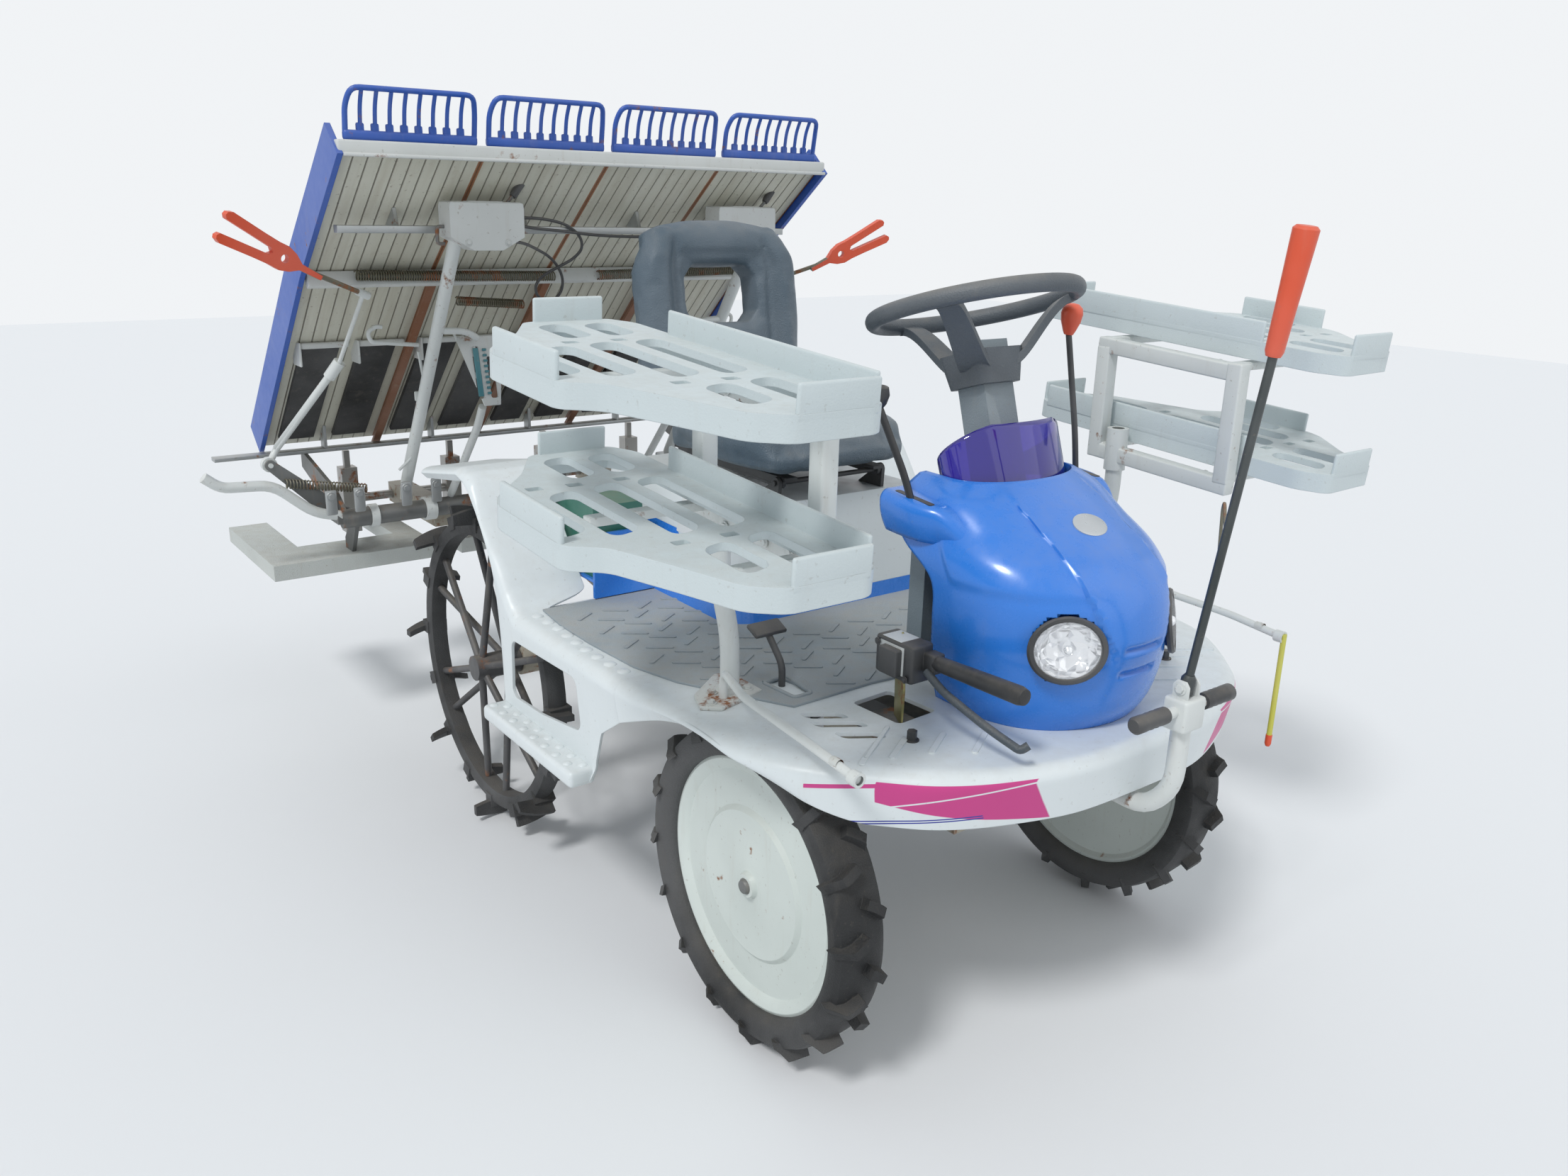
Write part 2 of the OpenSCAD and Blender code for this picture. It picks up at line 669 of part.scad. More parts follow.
module lift_rod() placed() color("silver") difference() {
    union() {
        rod(lift_at(140), lift_at(norm(lift_v)), 9);
        cross_rod(lift_x + 7, lift_x + 21, lever_tip, 21);
    }
    cross_rod(lift_x, lift_x + 40, lever_tip, 15);
}

// Planting unit

module unit_frame() placed() color("gray") difference() {
    union() {
        cross_rod(-580, 580, unit_beam, 24);
        both_sides() {
            for (x = [rail_x - 17, rail_x + 9])
                side_plate(x, x + 8) {
                    translate(low_pin_rear) circle(r = 20);
                    polygon([low_pin_rear - [10, 18], [640, 560], [640, 590], low_pin_rear + [0, 20]]);
                }
            slab([unit_mast_x - 5, unit_mast_x + 3], [590, 640], [575, 745]);
            side_plate(unit_mast_x - 5, unit_mast_x + 3) translate(top_pin_rear) circle(r = 20);
        }
        slab([-unit_mast_x, unit_mast_x], [618, 640], [690, 730]);
        // Arms down to the floats, then up to the table's rail
        for (x = [-540, -60, 60, 540])
            side_plate(x - 5, x + 5)
                polygon([[622, 590], [658, 590], [740, 500], [740, 472 + clear], [690, 472 + clear]]);
        both_sides() {
            slab([540, 592], [630, 707], [564, 588]);
            for (y = [673, 701]) translate([0, y + 6, 0]) rotate([90, 0, 0]) linear_extrude(6) {
                translate([arm_pin[0], arm_pin[2]]) circle(r = 13);
                polygon([[545, 564], [592, 564], [736, 713], [720, 733], [545, 588]]);
            }
        }
        both_sides() side_plate(566, 576)
            polygon([[622, 590], [650, 556], [rail_y + 14, 650], [rail_y + 14, rail_under - clear], [rail_y - 18, rail_under - clear], [700, 640]]);
    }
    both_sides() cross_rod(60, 150, low_pin_rear, link_pin_r + run);
    cross_rod(-60, 60, top_pin_rear, link_pin_r + 4);
    both_sides() translate(arm_pin - [0, 30, 0]) rotate([-90, 0, 0]) cylinder(h = 60, r = 6 + run);
}

module unit_posts() placed() color("white") both_sides() {
    rod([400, 664, 604], [400, 224, 1300], 15);
    slab([262, 430], [188, 254], [1250, 1352]);
    slab([300, 330], [250, 294], [1274, 1284 - clear]);
}

module slide_rails() placed() color("silver") {
    slab([-800, 800], [rail_y - 20, rail_y + 16], [rail_under, rail_under + 10]);
}

// Floats: middle across, width, then the low and high edges of each tail
float_table = [[540, 420, [[650, 750], [330, 395]]], [0, 520, [[-85, 85]]], [-540, 420, [[-750, -650], [-395, -330]]]];

module floats() placed() color("white") for (f = float_table)
    translate([0, 0, 432]) linear_extrude(40) {
        translate([f[0] - f[1] / 2, 660]) square([f[1], 150]);
        for (t = f[2]) translate([t[0], 800]) square([t[1] - t[0], 300]);
    }

module planting_cases() placed() color("tan") difference() {
    for (x = [-300, 300]) slab([x - 28, x + 28], [unit_beam[0] + 24, rotor_y + 28], [rotor_z - 26, rotor_z + 30]);
    cross_rod(-400, 400, [rotor_y, rotor_z], 12 + run);
}

table_line = [[table_foot_y, table_foot_z], [table_bend_y, table_bend_z], [table_top_y, table_top_z]];

module on_table() translate([-table_shift, 0, 0]) children();

module seedling_table() placed() on_table() color("ivory")
    side_plate(-half_table, half_table)
        polygon(concat(table_line, [for (i = [2:-1:0]) table_line[i] + [table_t * 0.7, table_t * 0.72]]));

// The bar under the table's top that runs on the posts, then the shoes at its foot
module table_runners() placed() on_table() color("silver") {
    slab([-half_table + 20, half_table - 20], [266, 290], [1284, 1300]);
    for (x = [-450, -150, 150, 450]) side_plate(x - 4, x + 4) {
        polygon([[270, 1290], [289, 1285], [345, 1291], [286, 1336.9]]);
        polygon([[932, rail_under + 10 + clear], [962, rail_under + 10 + clear], [962, 734], [932, 762]]);
    }
}

module table_sides() placed() on_table() color("royalblue") both_sides()
    side_plate(half_table + clear, half_table + 12)
        polygon(concat(
            [for (p = table_line) p + [-16, -12]],
            [for (i = [2:-1:0]) table_line[i] + [50, 46]]));

module seedling_combs() placed() on_table() color("royalblue") for (i = [0:rows - 1])
    translate([(i + 0.5) * row_pitch - half_table, table_top_y + 16, table_top_z + 22]) {
        rotate([0, 90, 0]) translate([0, 0, -130]) cylinder(h = 260, r = 6);
        for (k = [0:8]) rod([-128 + k * 32, 0, 0], [-128 + k * 32, -30, 90], 4);
    }

module feed_belts() placed() on_table() color("black")
    for (i = [0:rows - 1], t = [-70, 70])
        translate([(i + 0.5) * row_pitch - half_table + t - 45, table_foot_y, table_foot_z])
            rotate([-43, 0, 0]) translate([0, -440, -11.3]) cube([90, 400, 11]);

module rotor(x) translate([x, rotor_y, rotor_z]) {
    slab([-22, 22], [-20, 20], [-92, 92]);
    for (t = [-1, 1]) slab([-8, 8], [-7, 7], t > 0 ? [90, claw_r] : [-claw_r, -90]);
}

module rotors(s) placed() color("silver") {
    rotor(s * 150);
    rotor(s * 450);
    cross_rod(s * 300 - 150, s * 300 + 150, [rotor_y, rotor_z], 12);
}

// A fork's outline: a short tail, an eye and two prongs
fork_half = [
    [-36, 5], [18, 7], [38, 20], [60, 27], [84, 26], [120, 28], [196, 34], [206, 29],
    [208, 22], [203, 15], [120, 9], [94, 7]
];
module fork_plan() difference() {
    polygon(concat(fork_half, [[87, 0]], [for (i = [len(fork_half) - 1:-1:0]) [fork_half[i][0], -fork_half[i][1]]]));
    translate([58, 0]) circle(r = 9);
}

// The white arm on its hinge, the thin rod in the arm's socket, and the fork
module line_marker(s) placed() side(s) {
    elbow = [556, 410, 1148];
    top = [584, 550, 974];
    color("white") {
        translate(arm_pin - [0, 9, 0]) rotate([-90, 0, 0]) cylinder(h = 18, r = 18);
        translate(arm_pin - [0, 20, 0]) rotate([-90, 0, 0]) cylinder(h = 40, r = 6);
        rod(arm_pin, arm_pin + [-26, 0, 45], 8);
        rod(arm_pin + [-22, 0, 38], top, 9);
        rod(top + (arm_pin - top) * 0.12, top + (top - arm_pin) * 0.03, 14);
    }
    color("silver") {
        rod(top + [0, 0, -6], elbow, 5);
        rod(elbow + [-9, 5, -4], [690, 333, 1202], 5.4);
        rod(elbow + [-13, 7, -6], elbow + [15, -8, 6], 9);
    }
    color("orangered") translate([700, 328, 1206]) rotate([100, -26.9, -18.8])
        translate([0, 0, -8]) linear_extrude(16) fork_plan();
}

frame_rails();
engine_block();
drive_case();
rear_axle_case();
deck();
floor_mat();
bonnet();
meter_visor();
headlamps();
column_cover();
seat_base();
under_cover();
fenders();
front_bumper();
rack_posts();
hand_controls();
battery_box();
seat_mount();
steering_wheel();
seat_frame();
seat_cushion();
seat_back();
knuckle(1);  // knuckle_left
knuckle(-1);  // knuckle_right
front_disc(1);  // front_disc_left
front_disc(-1);  // front_disc_right
front_tyre(1);  // front_tyre_left
front_tyre(-1);  // front_tyre_right
rear_wheel(1);  // rear_wheel_left
rear_wheel(-1);  // rear_wheel_right
rear_tread(1);  // rear_tread_left
rear_tread(-1);  // rear_tread_right
rack_frame(1);  // rack_frame_left
rack_frame(-1);  // rack_frame_right
rack_trays(1);  // rack_trays_left
rack_trays(-1);  // rack_trays_right
mascot_pole();
side_marker(1);  // side_marker_left
side_marker(-1);  // side_marker_right
lower_links();
upper_link();
lift_barrel();
lift_rod();
unit_frame();
unit_posts();
slide_rails();
floats();
planting_cases();
seedling_table();
table_runners();
table_sides();
seedling_combs();
feed_belts();
rotors(1);  // rotors_left
rotors(-1);  // rotors_right
line_marker(1);  // line_marker_left
line_marker(-1);  // line_marker_right
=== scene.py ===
import bpy
import bmesh
import json
import math
from mathutils.bvhtree import BVHTree
from mathutils import Matrix, Vector


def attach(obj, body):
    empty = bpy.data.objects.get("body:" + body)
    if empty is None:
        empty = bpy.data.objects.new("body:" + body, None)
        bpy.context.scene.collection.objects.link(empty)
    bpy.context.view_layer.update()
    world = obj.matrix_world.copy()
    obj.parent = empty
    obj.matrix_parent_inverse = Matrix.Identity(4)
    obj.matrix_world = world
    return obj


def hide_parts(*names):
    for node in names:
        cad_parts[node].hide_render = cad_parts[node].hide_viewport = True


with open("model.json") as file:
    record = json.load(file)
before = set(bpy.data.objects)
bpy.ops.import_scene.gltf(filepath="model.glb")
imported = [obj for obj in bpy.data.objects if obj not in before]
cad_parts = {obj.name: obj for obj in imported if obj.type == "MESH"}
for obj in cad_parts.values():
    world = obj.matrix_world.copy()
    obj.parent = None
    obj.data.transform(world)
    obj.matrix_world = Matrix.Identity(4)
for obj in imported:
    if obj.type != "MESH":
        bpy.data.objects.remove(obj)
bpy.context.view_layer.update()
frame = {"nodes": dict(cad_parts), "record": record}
nodes = frame["nodes"]
scene = bpy.context.scene

# The row frame's origin lies this far ahead of the rear axle, in metres
AXLE_Y = 0.217


def at(x, y, z):
    """A point in millimetres from the rear axle, as part.scad writes it, in the row frame."""
    return Vector((x / 1000, y / 1000 + AXLE_Y, z / 1000))


# Camera, at the photograph's place and angle
def set_camera():
    yaw, pitch, roll = (math.radians(a) for a in (37.4, -17.9, 1.5))
    ahead = Vector((math.sin(yaw) * math.cos(pitch), math.cos(yaw) * math.cos(pitch), math.sin(pitch)))
    right = ahead.cross(Vector((0, 0, 1))).normalized()
    up = right.cross(ahead)
    right, up = (right * math.cos(roll) + up * math.sin(roll),
                 up * math.cos(roll) - right * math.sin(roll))
    data = bpy.data.cameras.new("camera")
    data.sensor_width = 36
    data.lens = 36 * 1706.3 / 2212
    camera = bpy.data.objects.new("camera", data)
    turn = Matrix((right, up, -ahead)).transposed().to_4x4()
    camera.matrix_world = Matrix.Translation(at(-1483.7, -2392.3, 1378.5)) @ turn
    scene.collection.objects.link(camera)
    scene.camera = camera


set_camera()


# Materials
class Value:
    """A socket of a finish, with the operators that the shader maths uses."""

    def __init__(self, finish, socket):
        self.finish = finish
        self.socket = socket

    def maths(self, operation, *values):
        return self.finish.add("Math", *values, operation=operation)

    def __add__(self, other):
        return self.maths("ADD", self, other)

    def __sub__(self, other):
        return self.maths("SUBTRACT", self, other)

    def __mul__(self, other):
        return self.maths("MULTIPLY", self, other)

    def __rsub__(self, other):
        return self.maths("SUBTRACT", other, self)

    __radd__ = __add__
    __rmul__ = __mul__

    def most(self, other):
        return self.maths("MAXIMUM", self, other)

    def step(self, low, high):
        """0 below low and 1 above high, with a straight ramp between."""
        return self.finish.add("MapRange", self, low, high, 0.0, 1.0, clamp=True)


class Finish:
    """One material: a Principled shader, and nodes that vary its inputs over the surface."""

    def __init__(self, name, color, rough=0.5, metal=0.0, **sockets):
        self.material = bpy.data.materials.new(name)
        self.material.use_nodes = True
        self.tree = self.material.node_tree
        self.shader = self.tree.nodes["Principled BSDF"]
        self.set("Base Color", (*color, 1))
        self.set("Roughness", rough)
        self.set("Metallic", metal)
        for key, value in sockets.items():
            self.set(key.replace("_", " ").title().replace("Ior", "IOR"), value)
        coordinates = self.tree.nodes.new("ShaderNodeTexCoord")
        self.place = Value(self, coordinates.outputs["Object"])

    def add(self, kind, *inputs, out=0, **settings):
        node = self.tree.nodes.new("ShaderNode" + kind)
        named = settings.pop("named", {})
        for key, value in settings.items():
            setattr(node, key, value)
        for i, value in list(enumerate(inputs)) + list(named.items()):
            if value is None:
                continue
            if isinstance(value, Value):
                self.tree.links.new(value.socket, node.inputs[i])
            else:
                node.inputs[i].default_value = value
        return Value(self, node.outputs[out])

    def set(self, name, value):
        if isinstance(value, Value):
            self.tree.links.new(value.socket, self.shader.inputs[name])
        else:
            self.shader.inputs[name].default_value = value

    def color(self):
        """What feeds the base colour so far."""
        return Value(self, self.shader.inputs["Base Color"].links[0].from_socket)

    def noise(self, scale, detail=3.0, rough=0.55, stretch=None):
        place = self.stretched(stretch) if stretch else self.place
        return self.add("TexNoise", place, named={"Scale": scale, "Detail": detail, "Roughness": rough})

    def facets(self, scale):
        """How far each place is from the edge of its cell in a pattern of cells."""
        return self.add("TexVoronoi", self.place, named={"Scale": scale}, feature="DISTANCE_TO_EDGE", out="Distance")

    def stretched(self, scale):
        return self.add("Mapping", self.place, named={"Scale": scale})

    def part(self, vector, axis):
        return self.add("SeparateXYZ", vector, out=axis)

    def facing_up(self):
        geometry = self.tree.nodes.new("ShaderNodeNewGeometry")
        return self.part(Value(self, geometry.outputs["Normal"]), 2)

    def mixed(self, amount, low, high):
        """Colour low where amount is 0 and high where it is 1."""
        low = low if isinstance(low, Value) else (*low, 1)
        high = high if isinstance(high, Value) else (*high, 1)
        return self.add("Mix", data_type="RGBA", named={0: amount, 6: low, 7: high}, out=2)

    def rounded(self, radius):
        """The normal of the surface with its edges rounded."""
        return self.add("Bevel", samples=6, named={"Radius": radius})

    def bump(self, height, depth, normal=None):
        return self.add("Bump", named={"Height": height, "Distance": depth, "Normal": normal})


def weathered(name, color, rough=0.42, metal=0.0, dirt=(0.42, 0.36, 0.28), dust=0.35, spots=0.25,
              rust=0.0, edge=0.002, fade=0.12, grain=0.0, **sockets):
    """Paint or plastic that has stood outside: faded patches, dust on top, stains and rust."""
    f = Finish(name, color, rough, metal, **sockets)
    patches = f.noise(3.2, 4.0)
    fine = f.noise(41.0, 5.0, 0.6)
    pale = tuple(min(1.0, c + (0.62 - c) * fade) for c in color)
    deep = tuple(c * (1 - fade) for c in color)
    tone = f.mixed(patches.step(0.35, 0.65), deep, pale)
    upward = f.facing_up().step(0.2, 0.95)
    film = upward * (patches * 0.6 + fine * 0.7).step(0.45, 0.9) * dust
    tone = f.mixed(film, tone, dirt)
    streaks = f.noise(9.0, 3.0, 0.6, (5.0, 5.0, 0.7)).step(0.58, 0.8) * spots
    tone = f.mixed(streaks * fine, tone, dirt)
    specks = f.noise(120.0, 2.0, 0.5).step(0.67, 0.75) * spots
    tone = f.mixed(specks, tone, tuple(c * 0.6 for c in dirt))
    if rust:
        eaten = (f.noise(17.0, 6.0, 0.65) + f.noise(90.0, 3.0) * 0.25).step(0.80 - 0.22 * rust, 0.88 - 0.2 * rust)
        tone = f.mixed(eaten, tone, f.mixed(fine, (0.17, 0.06, 0.025), (0.33, 0.15, 0.07)))
        f.set("Roughness", (fine * 0.2 + (rough - 0.08)).most(eaten * 0.85))
        if metal:
            f.set("Metallic", metal * (1 - eaten))
    else:
        f.set("Roughness", fine * 0.24 + film * 0.5 + (rough - 0.12))
    f.set("Base Color", tone)
    round_edge = f.rounded(edge) if edge else None
    height = fine * 0.35 + (f.noise(380.0, 2.0) * grain if grain else 0.0)
    f.set("Normal", f.bump(height, 0.0006 + 0.0008 * grain, round_edge))
    return f


# One finish for each material slot of the solids
FINISHES = {
    "white_moulding": weathered("white moulding", (0.74, 0.79, 0.80), 0.34, dust=0.22, spots=0.2, fade=0.05),
    "white_paint": weathered("white paint", (0.72, 0.75, 0.73), 0.36, dust=0.2, spots=0.35, rust=0.18, edge=0.0012),
    "blue_moulding": weathered("blue moulding", (0.018, 0.20, 0.72), 0.27, dust=0.16, spots=0.08, fade=0.04,
                               coat_weight=0.35, coat_roughness=0.12),
    "table_blue": weathered("blue painted steel", (0.016, 0.092, 0.44), 0.38, dust=0.2, spots=0.2, rust=0.2,
                            fade=0.06),
    "tray_white": weathered("tray plastic", (0.62, 0.69, 0.70), 0.42, dust=0.25, spots=0.22, fade=0.05, grain=0.4),
    "float_white": weathered("float foam", (0.60, 0.63, 0.60), 0.6, dust=0.4, spots=0.5, grain=1.0),
    "frame_paint": weathered("chassis paint", (0.035, 0.038, 0.042), 0.5, dust=0.5, spots=0.5, rust=0.35),
    "engine_metal": weathered("cast alloy", (0.25, 0.25, 0.25), 0.55, 0.6, dust=0.5, spots=0.6, rust=0.2, grain=0.8),
    "case_paint": weathered("case paint", (0.46, 0.42, 0.33), 0.5, dust=0.5, spots=0.7, rust=0.6),
    "link_steel": weathered("grey painted steel", (0.16, 0.165, 0.16), 0.46, 0.3, dust=0.4, spots=0.5, rust=0.45),
    "zinc_steel": weathered("galvanised steel", (0.44, 0.46, 0.46), 0.42, 0.75, dust=0.3, spots=0.3, rust=0.25),
    "rod_steel": weathered("bright rod", (0.60, 0.60, 0.60), 0.22, 1.0, dust=0.1, spots=0.1, edge=0.0),
    "claw_steel": weathered("claw steel", (0.40, 0.39, 0.37), 0.4, 0.85, dust=0.3, spots=0.4, rust=0.45),
    "mat_grey": weathered("grey mat", (0.31, 0.36, 0.39), 0.62, dust=0.4, spots=0.3, edge=0.0015, grain=0.8),
    "column_grey": weathered("column plastic", (0.22, 0.27, 0.30), 0.5, dust=0.25, spots=0.2, grain=0.6),
    "black_plastic": weathered("black plastic", (0.022, 0.023, 0.025), 0.42, dust=0.25, spots=0.1, edge=0.0015),
    "wheel_grey": weathered("dark grey plastic", (0.055, 0.072, 0.088), 0.45, dust=0.3, spots=0.1, grain=0.8),
    "seat_vinyl": weathered("seat vinyl", (0.075, 0.115, 0.15), 0.45, dust=0.22, spots=0.1, edge=0.0, grain=0.9),
    "battery_case": weathered("battery case", (0.02, 0.16, 0.11), 0.4, dust=0.4, spots=0.2),
    "disc_white": weathered("wheel disc paint", (0.66, 0.72, 0.68), 0.38, dust=0.3, spots=0.3, rust=0.03),
    "tyre_rubber": weathered("tyre rubber", (0.018, 0.019, 0.020), 0.66, dust=0.6, spots=0.45,
                             dirt=(0.13, 0.115, 0.095), grain=0.9),
    "wheel_steel": weathered("black wheel steel", (0.03, 0.03, 0.032), 0.5, dust=0.4, spots=0.4, rust=0.4),
    "belt_rubber": weathered("belt rubber", (0.012, 0.012, 0.013), 0.6, dust=0.3, spots=0.2, grain=0.6),
    "pole_finish": weathered("pole steel", (0.03, 0.04, 0.04), 0.35, 0.5, dust=0.2, spots=0.2),
    "visor_tint": weathered("tinted visor", (0.020, 0.016, 0.20), 0.1, dust=0.05, spots=0.0, fade=0.0, edge=0.0),
    "lamp_lens": weathered("lamp lens", (0.75, 0.78, 0.80), 0.1, dust=0.05, spots=0.0, fade=0.0, edge=0.0),
}
slots = {slot: finish.material for slot, finish in FINISHES.items()}

# Finishes of small parts that share a slot with others
ORANGE = weathered("orange plastic", (0.80, 0.085, 0.02), 0.38, dust=0.12, spots=0.15, fade=0.1, edge=0.0015)
YELLOW = weathered("yellow tube", (0.62, 0.60, 0.08), 0.45, dust=0.1, spots=0.1)
PALE_RAIL = weathered("pale painted rail", (0.66, 0.68, 0.66), 0.4, dust=0.25, spots=0.4, rust=0.2)
LABEL = weathered("blank label", (0.78, 0.80, 0.78), 0.35, dust=0.1, spots=0.05, edge=0.0)
SILVER_LABEL = weathered("silver label", (0.55, 0.58, 0.60), 0.28, 0.4, dust=0.1, spots=0.05, edge=0.0)
RUSTED = weathered("rusted plate", (0.64, 0.66, 0.63), 0.48, dust=0.3, spots=0.5, rust=0.72)
SPRING = weathered("old spring steel", (0.17, 0.16, 0.11), 0.5, 0.6, dust=0.3, spots=0.4, rust=0.7)
HOSE = weathered("black hose", (0.014, 0.014, 0.015), 0.4, dust=0.1, spots=0.0, edge=0.0)
BRASS_PLATE = weathered("yellow zinc plate", (0.30, 0.27, 0.10), 0.4, 0.7, dust=0.3, spots=0.5, rust=0.5)


def ribbed_board():
    """Ivory board with a groove every 30 mm, painted dark as shade, and a red-brown strip where two rows meet."""
    f = weathered("ribbed ivory board", (0.62, 0.61, 0.51), 0.46, dust=0.25, spots=0.6, fade=0.1)
    across = f.part(f.place, 0)
    inside = f.add("Math", across + 6.067, 0.015, operation="PINGPONG")
    groove = 1 - inside.step(0.0, 0.0019)
    row = f.add("Math", across + 6.067, 0.15, operation="PINGPONG")
    strip = 1 - row.step(0.005, 0.0065)
    stain = f.noise(7.0, 5.0, 0.6, (6.0, 0.5, 0.5)).step(0.45, 0.75)
    # Painted shade: the grooves are darkened in the base colour, besides their bump below
    tone = f.mixed(groove * 0.65, f.color(), (0.20, 0.17, 0.12))
    tone = f.mixed(stain * 0.28, tone, (0.30, 0.24, 0.15))
    tone = f.mixed(strip, tone, (0.30, 0.13, 0.06))
    f.set("Base Color", tone)
    f.set("Normal", f.bump(1 - groove, 0.004))
    return f


slots["table_ivory"] = ribbed_board().material


def striped_moulding():
    """The white moulding with plain coloured wedges and thin stripes on the sides of its skirt."""
    f = weathered("striped white moulding", (0.74, 0.79, 0.80), 0.34, dust=0.22, spots=0.2, fade=0.05)
    along, up = f.part(f.place, 1), f.part(f.place, 2)
    tone = f.color()

    def between(value, low, high):
        return value.step(low - 0.0004, low + 0.0004) * (1 - value.step(high - 0.0004, high + 0.0004))

    run = along + 1.060
    wedge = between(run, -0.085, 0.040) * between(up - 0.535, -0.4, 0.052)
    wedge = wedge * (up + run * 0.10 - run * 0.42).step(0.5415, 0.5425)
    wedge = wedge * (1 - between(up - 0.556 + run * 0.3, -0.0012, 0.0012))
    sliver = between(run, 0.028, 0.118) * between(up + run * 0.16 - 0.588, -0.004, 0.0025)
    lines = between(up + run * 0.12, 0.5225, 0.5245) + between(up + run * 0.12, 0.5265, 0.5285)
    stripes = between(run, -0.050, 0.075) * lines.step(0.2, 0.6)
    tone = f.mixed(wedge.most(sliver), tone, (0.58, 0.05, 0.24))
    tone = f.mixed(stripes, tone, (0.035, 0.045, 0.32))
    f.set("Base Color", tone)
    return f


STRIPED = striped_moulding()


def finish_cad_nodes():
    for part in frame["record"]["subparts"]:
        holder = nodes[part["node"]]
        for slot in holder.material_slots:
            slot.material = slots[part["material_slot"]]


finish_cad_nodes()


# Hoses
def hose(name, points, diameter=0.007):
    """A rubber hose on one smooth curve through these points, both ends held."""
    knots = [Vector(at(*p)) for p in points]
    knots = [2 * knots[0] - knots[1]] + knots + [2 * knots[-1] - knots[-2]]
    line = []
    for before, start, end, after in zip(knots, knots[1:], knots[2:], knots[3:]):
        for k in range(6):
            t = k / 6
            line.append(0.5 * (2 * start + (end - before) * t + (2 * before - 5 * start + 4 * end - after) * t * t
                               + (3 * start - before - 3 * end + after) * t ** 3))
    line.append(knots[-2])
    curve = bpy.data.curves.new(name, "CURVE")
    curve.dimensions = "3D"
    curve.bevel_depth = diameter / 2
    curve.bevel_resolution = 4
    curve.use_fill_caps = True
    spline = curve.splines.new("POLY")
    spline.points.add(len(line) - 1)
    for point, place in zip(spline.points, line):
        point.co = (*place, 1)
    piece = bpy.data.objects.new(name, curve)
    scene.collection.objects.link(piece)
    curve.materials.append(HOSE.material)
    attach(piece, "unit")
    length = sum((b - a).length for a, b in zip(line, line[1:]))


hose("box_hose", [(-262, 246, 1296), (-236, 248, 1300), (-200, 247, 1296), (-150, 246, 1292), (-110, 246, 1288),
                  (-60, 246, 1283), (0, 246, 1280),
                  (60, 246, 1279), (120, 246, 1280), (180, 246, 1284), (226, 248, 1290), (250, 248, 1294),
                  (262, 246, 1296)])
hose("looped_hose", [(-262, 262, 1316), (-222, 262, 1319), (-172, 260, 1316), (-122, 260, 1304), (-88, 262, 1280),
                     (-78, 270, 1252), (-92, 286, 1228),
                     (-122, 302, 1208), (-152, 316, 1190), (-170, 326, 1168), (-168, 332, 1144), (-148, 336, 1128),
                     (-120, 336, 1130),
                     (-102, 334, 1150), (-100, 330, 1178), (-114, 324, 1206), (-142, 312, 1230), (-180, 296, 1248),
                     (-222, 274, 1262),
                     (-262, 258, 1268)])


# Making pieces
def made(name, bm, slot, body, *replaced, sharp=38, material=None, recalculate=True):
    """A piece from a bmesh, riding on a body, in a slot's finish or in a material of its own."""
    if recalculate:
        bmesh.ops.recalc_face_normals(bm, faces=bm.faces)
    mesh = bpy.data.meshes.new(name)
    bm.to_mesh(mesh)
    bm.free()
    mesh.shade_smooth()
    mesh.set_sharp_from_angle(angle=math.radians(sharp))
    piece = bpy.data.objects.new(name, mesh)
    scene.collection.objects.link(piece)
    mesh.materials.append(material.material if material else slots[slot])
    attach(piece, body)
    if replaced:
        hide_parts(*replaced)
    return piece


def body_of(node):
    return next(b for b, held in frame["record"]["behaviour"]["bodies"].items() if node in held)


def slot_of(node):
    return next(p["material_slot"] for p in frame["record"]["subparts"] if p["node"] == node)


def merged(node):
    """A CAD node's shape as one clean bmesh with its flat faces joined."""
    bm = bmesh.new()
    bm.from_mesh(nodes[node].data)
    bmesh.ops.remove_doubles(bm, verts=bm.verts, dist=0.00002)
    bmesh.ops.dissolve_limit(bm, angle_limit=math.radians(0.8), verts=bm.verts, edges=bm.edges)
    return bm


def bevelled(bm, geom, width, segments, affect="EDGES"):
    bmesh.ops.bevel(bm, geom=geom, offset=width / 1000, offset_type="OFFSET", affect=affect, segments=segments,
                    profile=0.5, material=-1, clamp_overlap=True)


def softened(bm, width, segments=3, over=32, keep=None):
    """Rounds the edges that turn by more than an angle, in degrees."""
    edges = [e for e in bm.edges if len(e.link_faces) == 2 and e.calc_face_angle(0) > math.radians(over)
             and e.calc_length() > width * 0.5 and (keep is None or keep(e))]
    bevelled(bm, edges, width, segments)


def dressed(node, width, segments=3, over=32):
    """A CAD node's shape with its edges rounded, standing for the node."""
    bm = merged(node)
    softened(bm, width, segments, over)
    return made(node + "_form", bm, slot_of(node), body_of(node), node)


def verts_of(grown):
    """The vertices that an extrusion made."""
    return [v for v in grown["geom"] if isinstance(v, bmesh.types.BMVert)]


def extruded(bm, way):
    """Extrudes all the faces and moves the new ones."""
    grown = bmesh.ops.extrude_face_region(bm, geom=bm.faces[:])
    bmesh.ops.translate(bm, vec=way, verts=verts_of(grown))


def facing_outwards(bm):
    """Turns an open sheet's faces so that they look up."""
    bmesh.ops.recalc_face_normals(bm, faces=bm.faces)
    if sum(f.normal.z for f in bm.faces) < 0:
        bmesh.ops.reverse_faces(bm, faces=bm.faces)


def spun(bm, degrees, axis="Z", centre=(0, 0, 0)):
    turn = Matrix.Rotation(math.radians(degrees), 3, axis)
    bmesh.ops.rotate(bm, cent=centre, matrix=turn, verts=bm.verts)


def centred(bm):
    """Takes a shape that was made around the rear axle to the origin, for placed() to turn."""
    bmesh.ops.translate(bm, vec=-at(0, 0, 0), verts=bm.verts)
    return bm


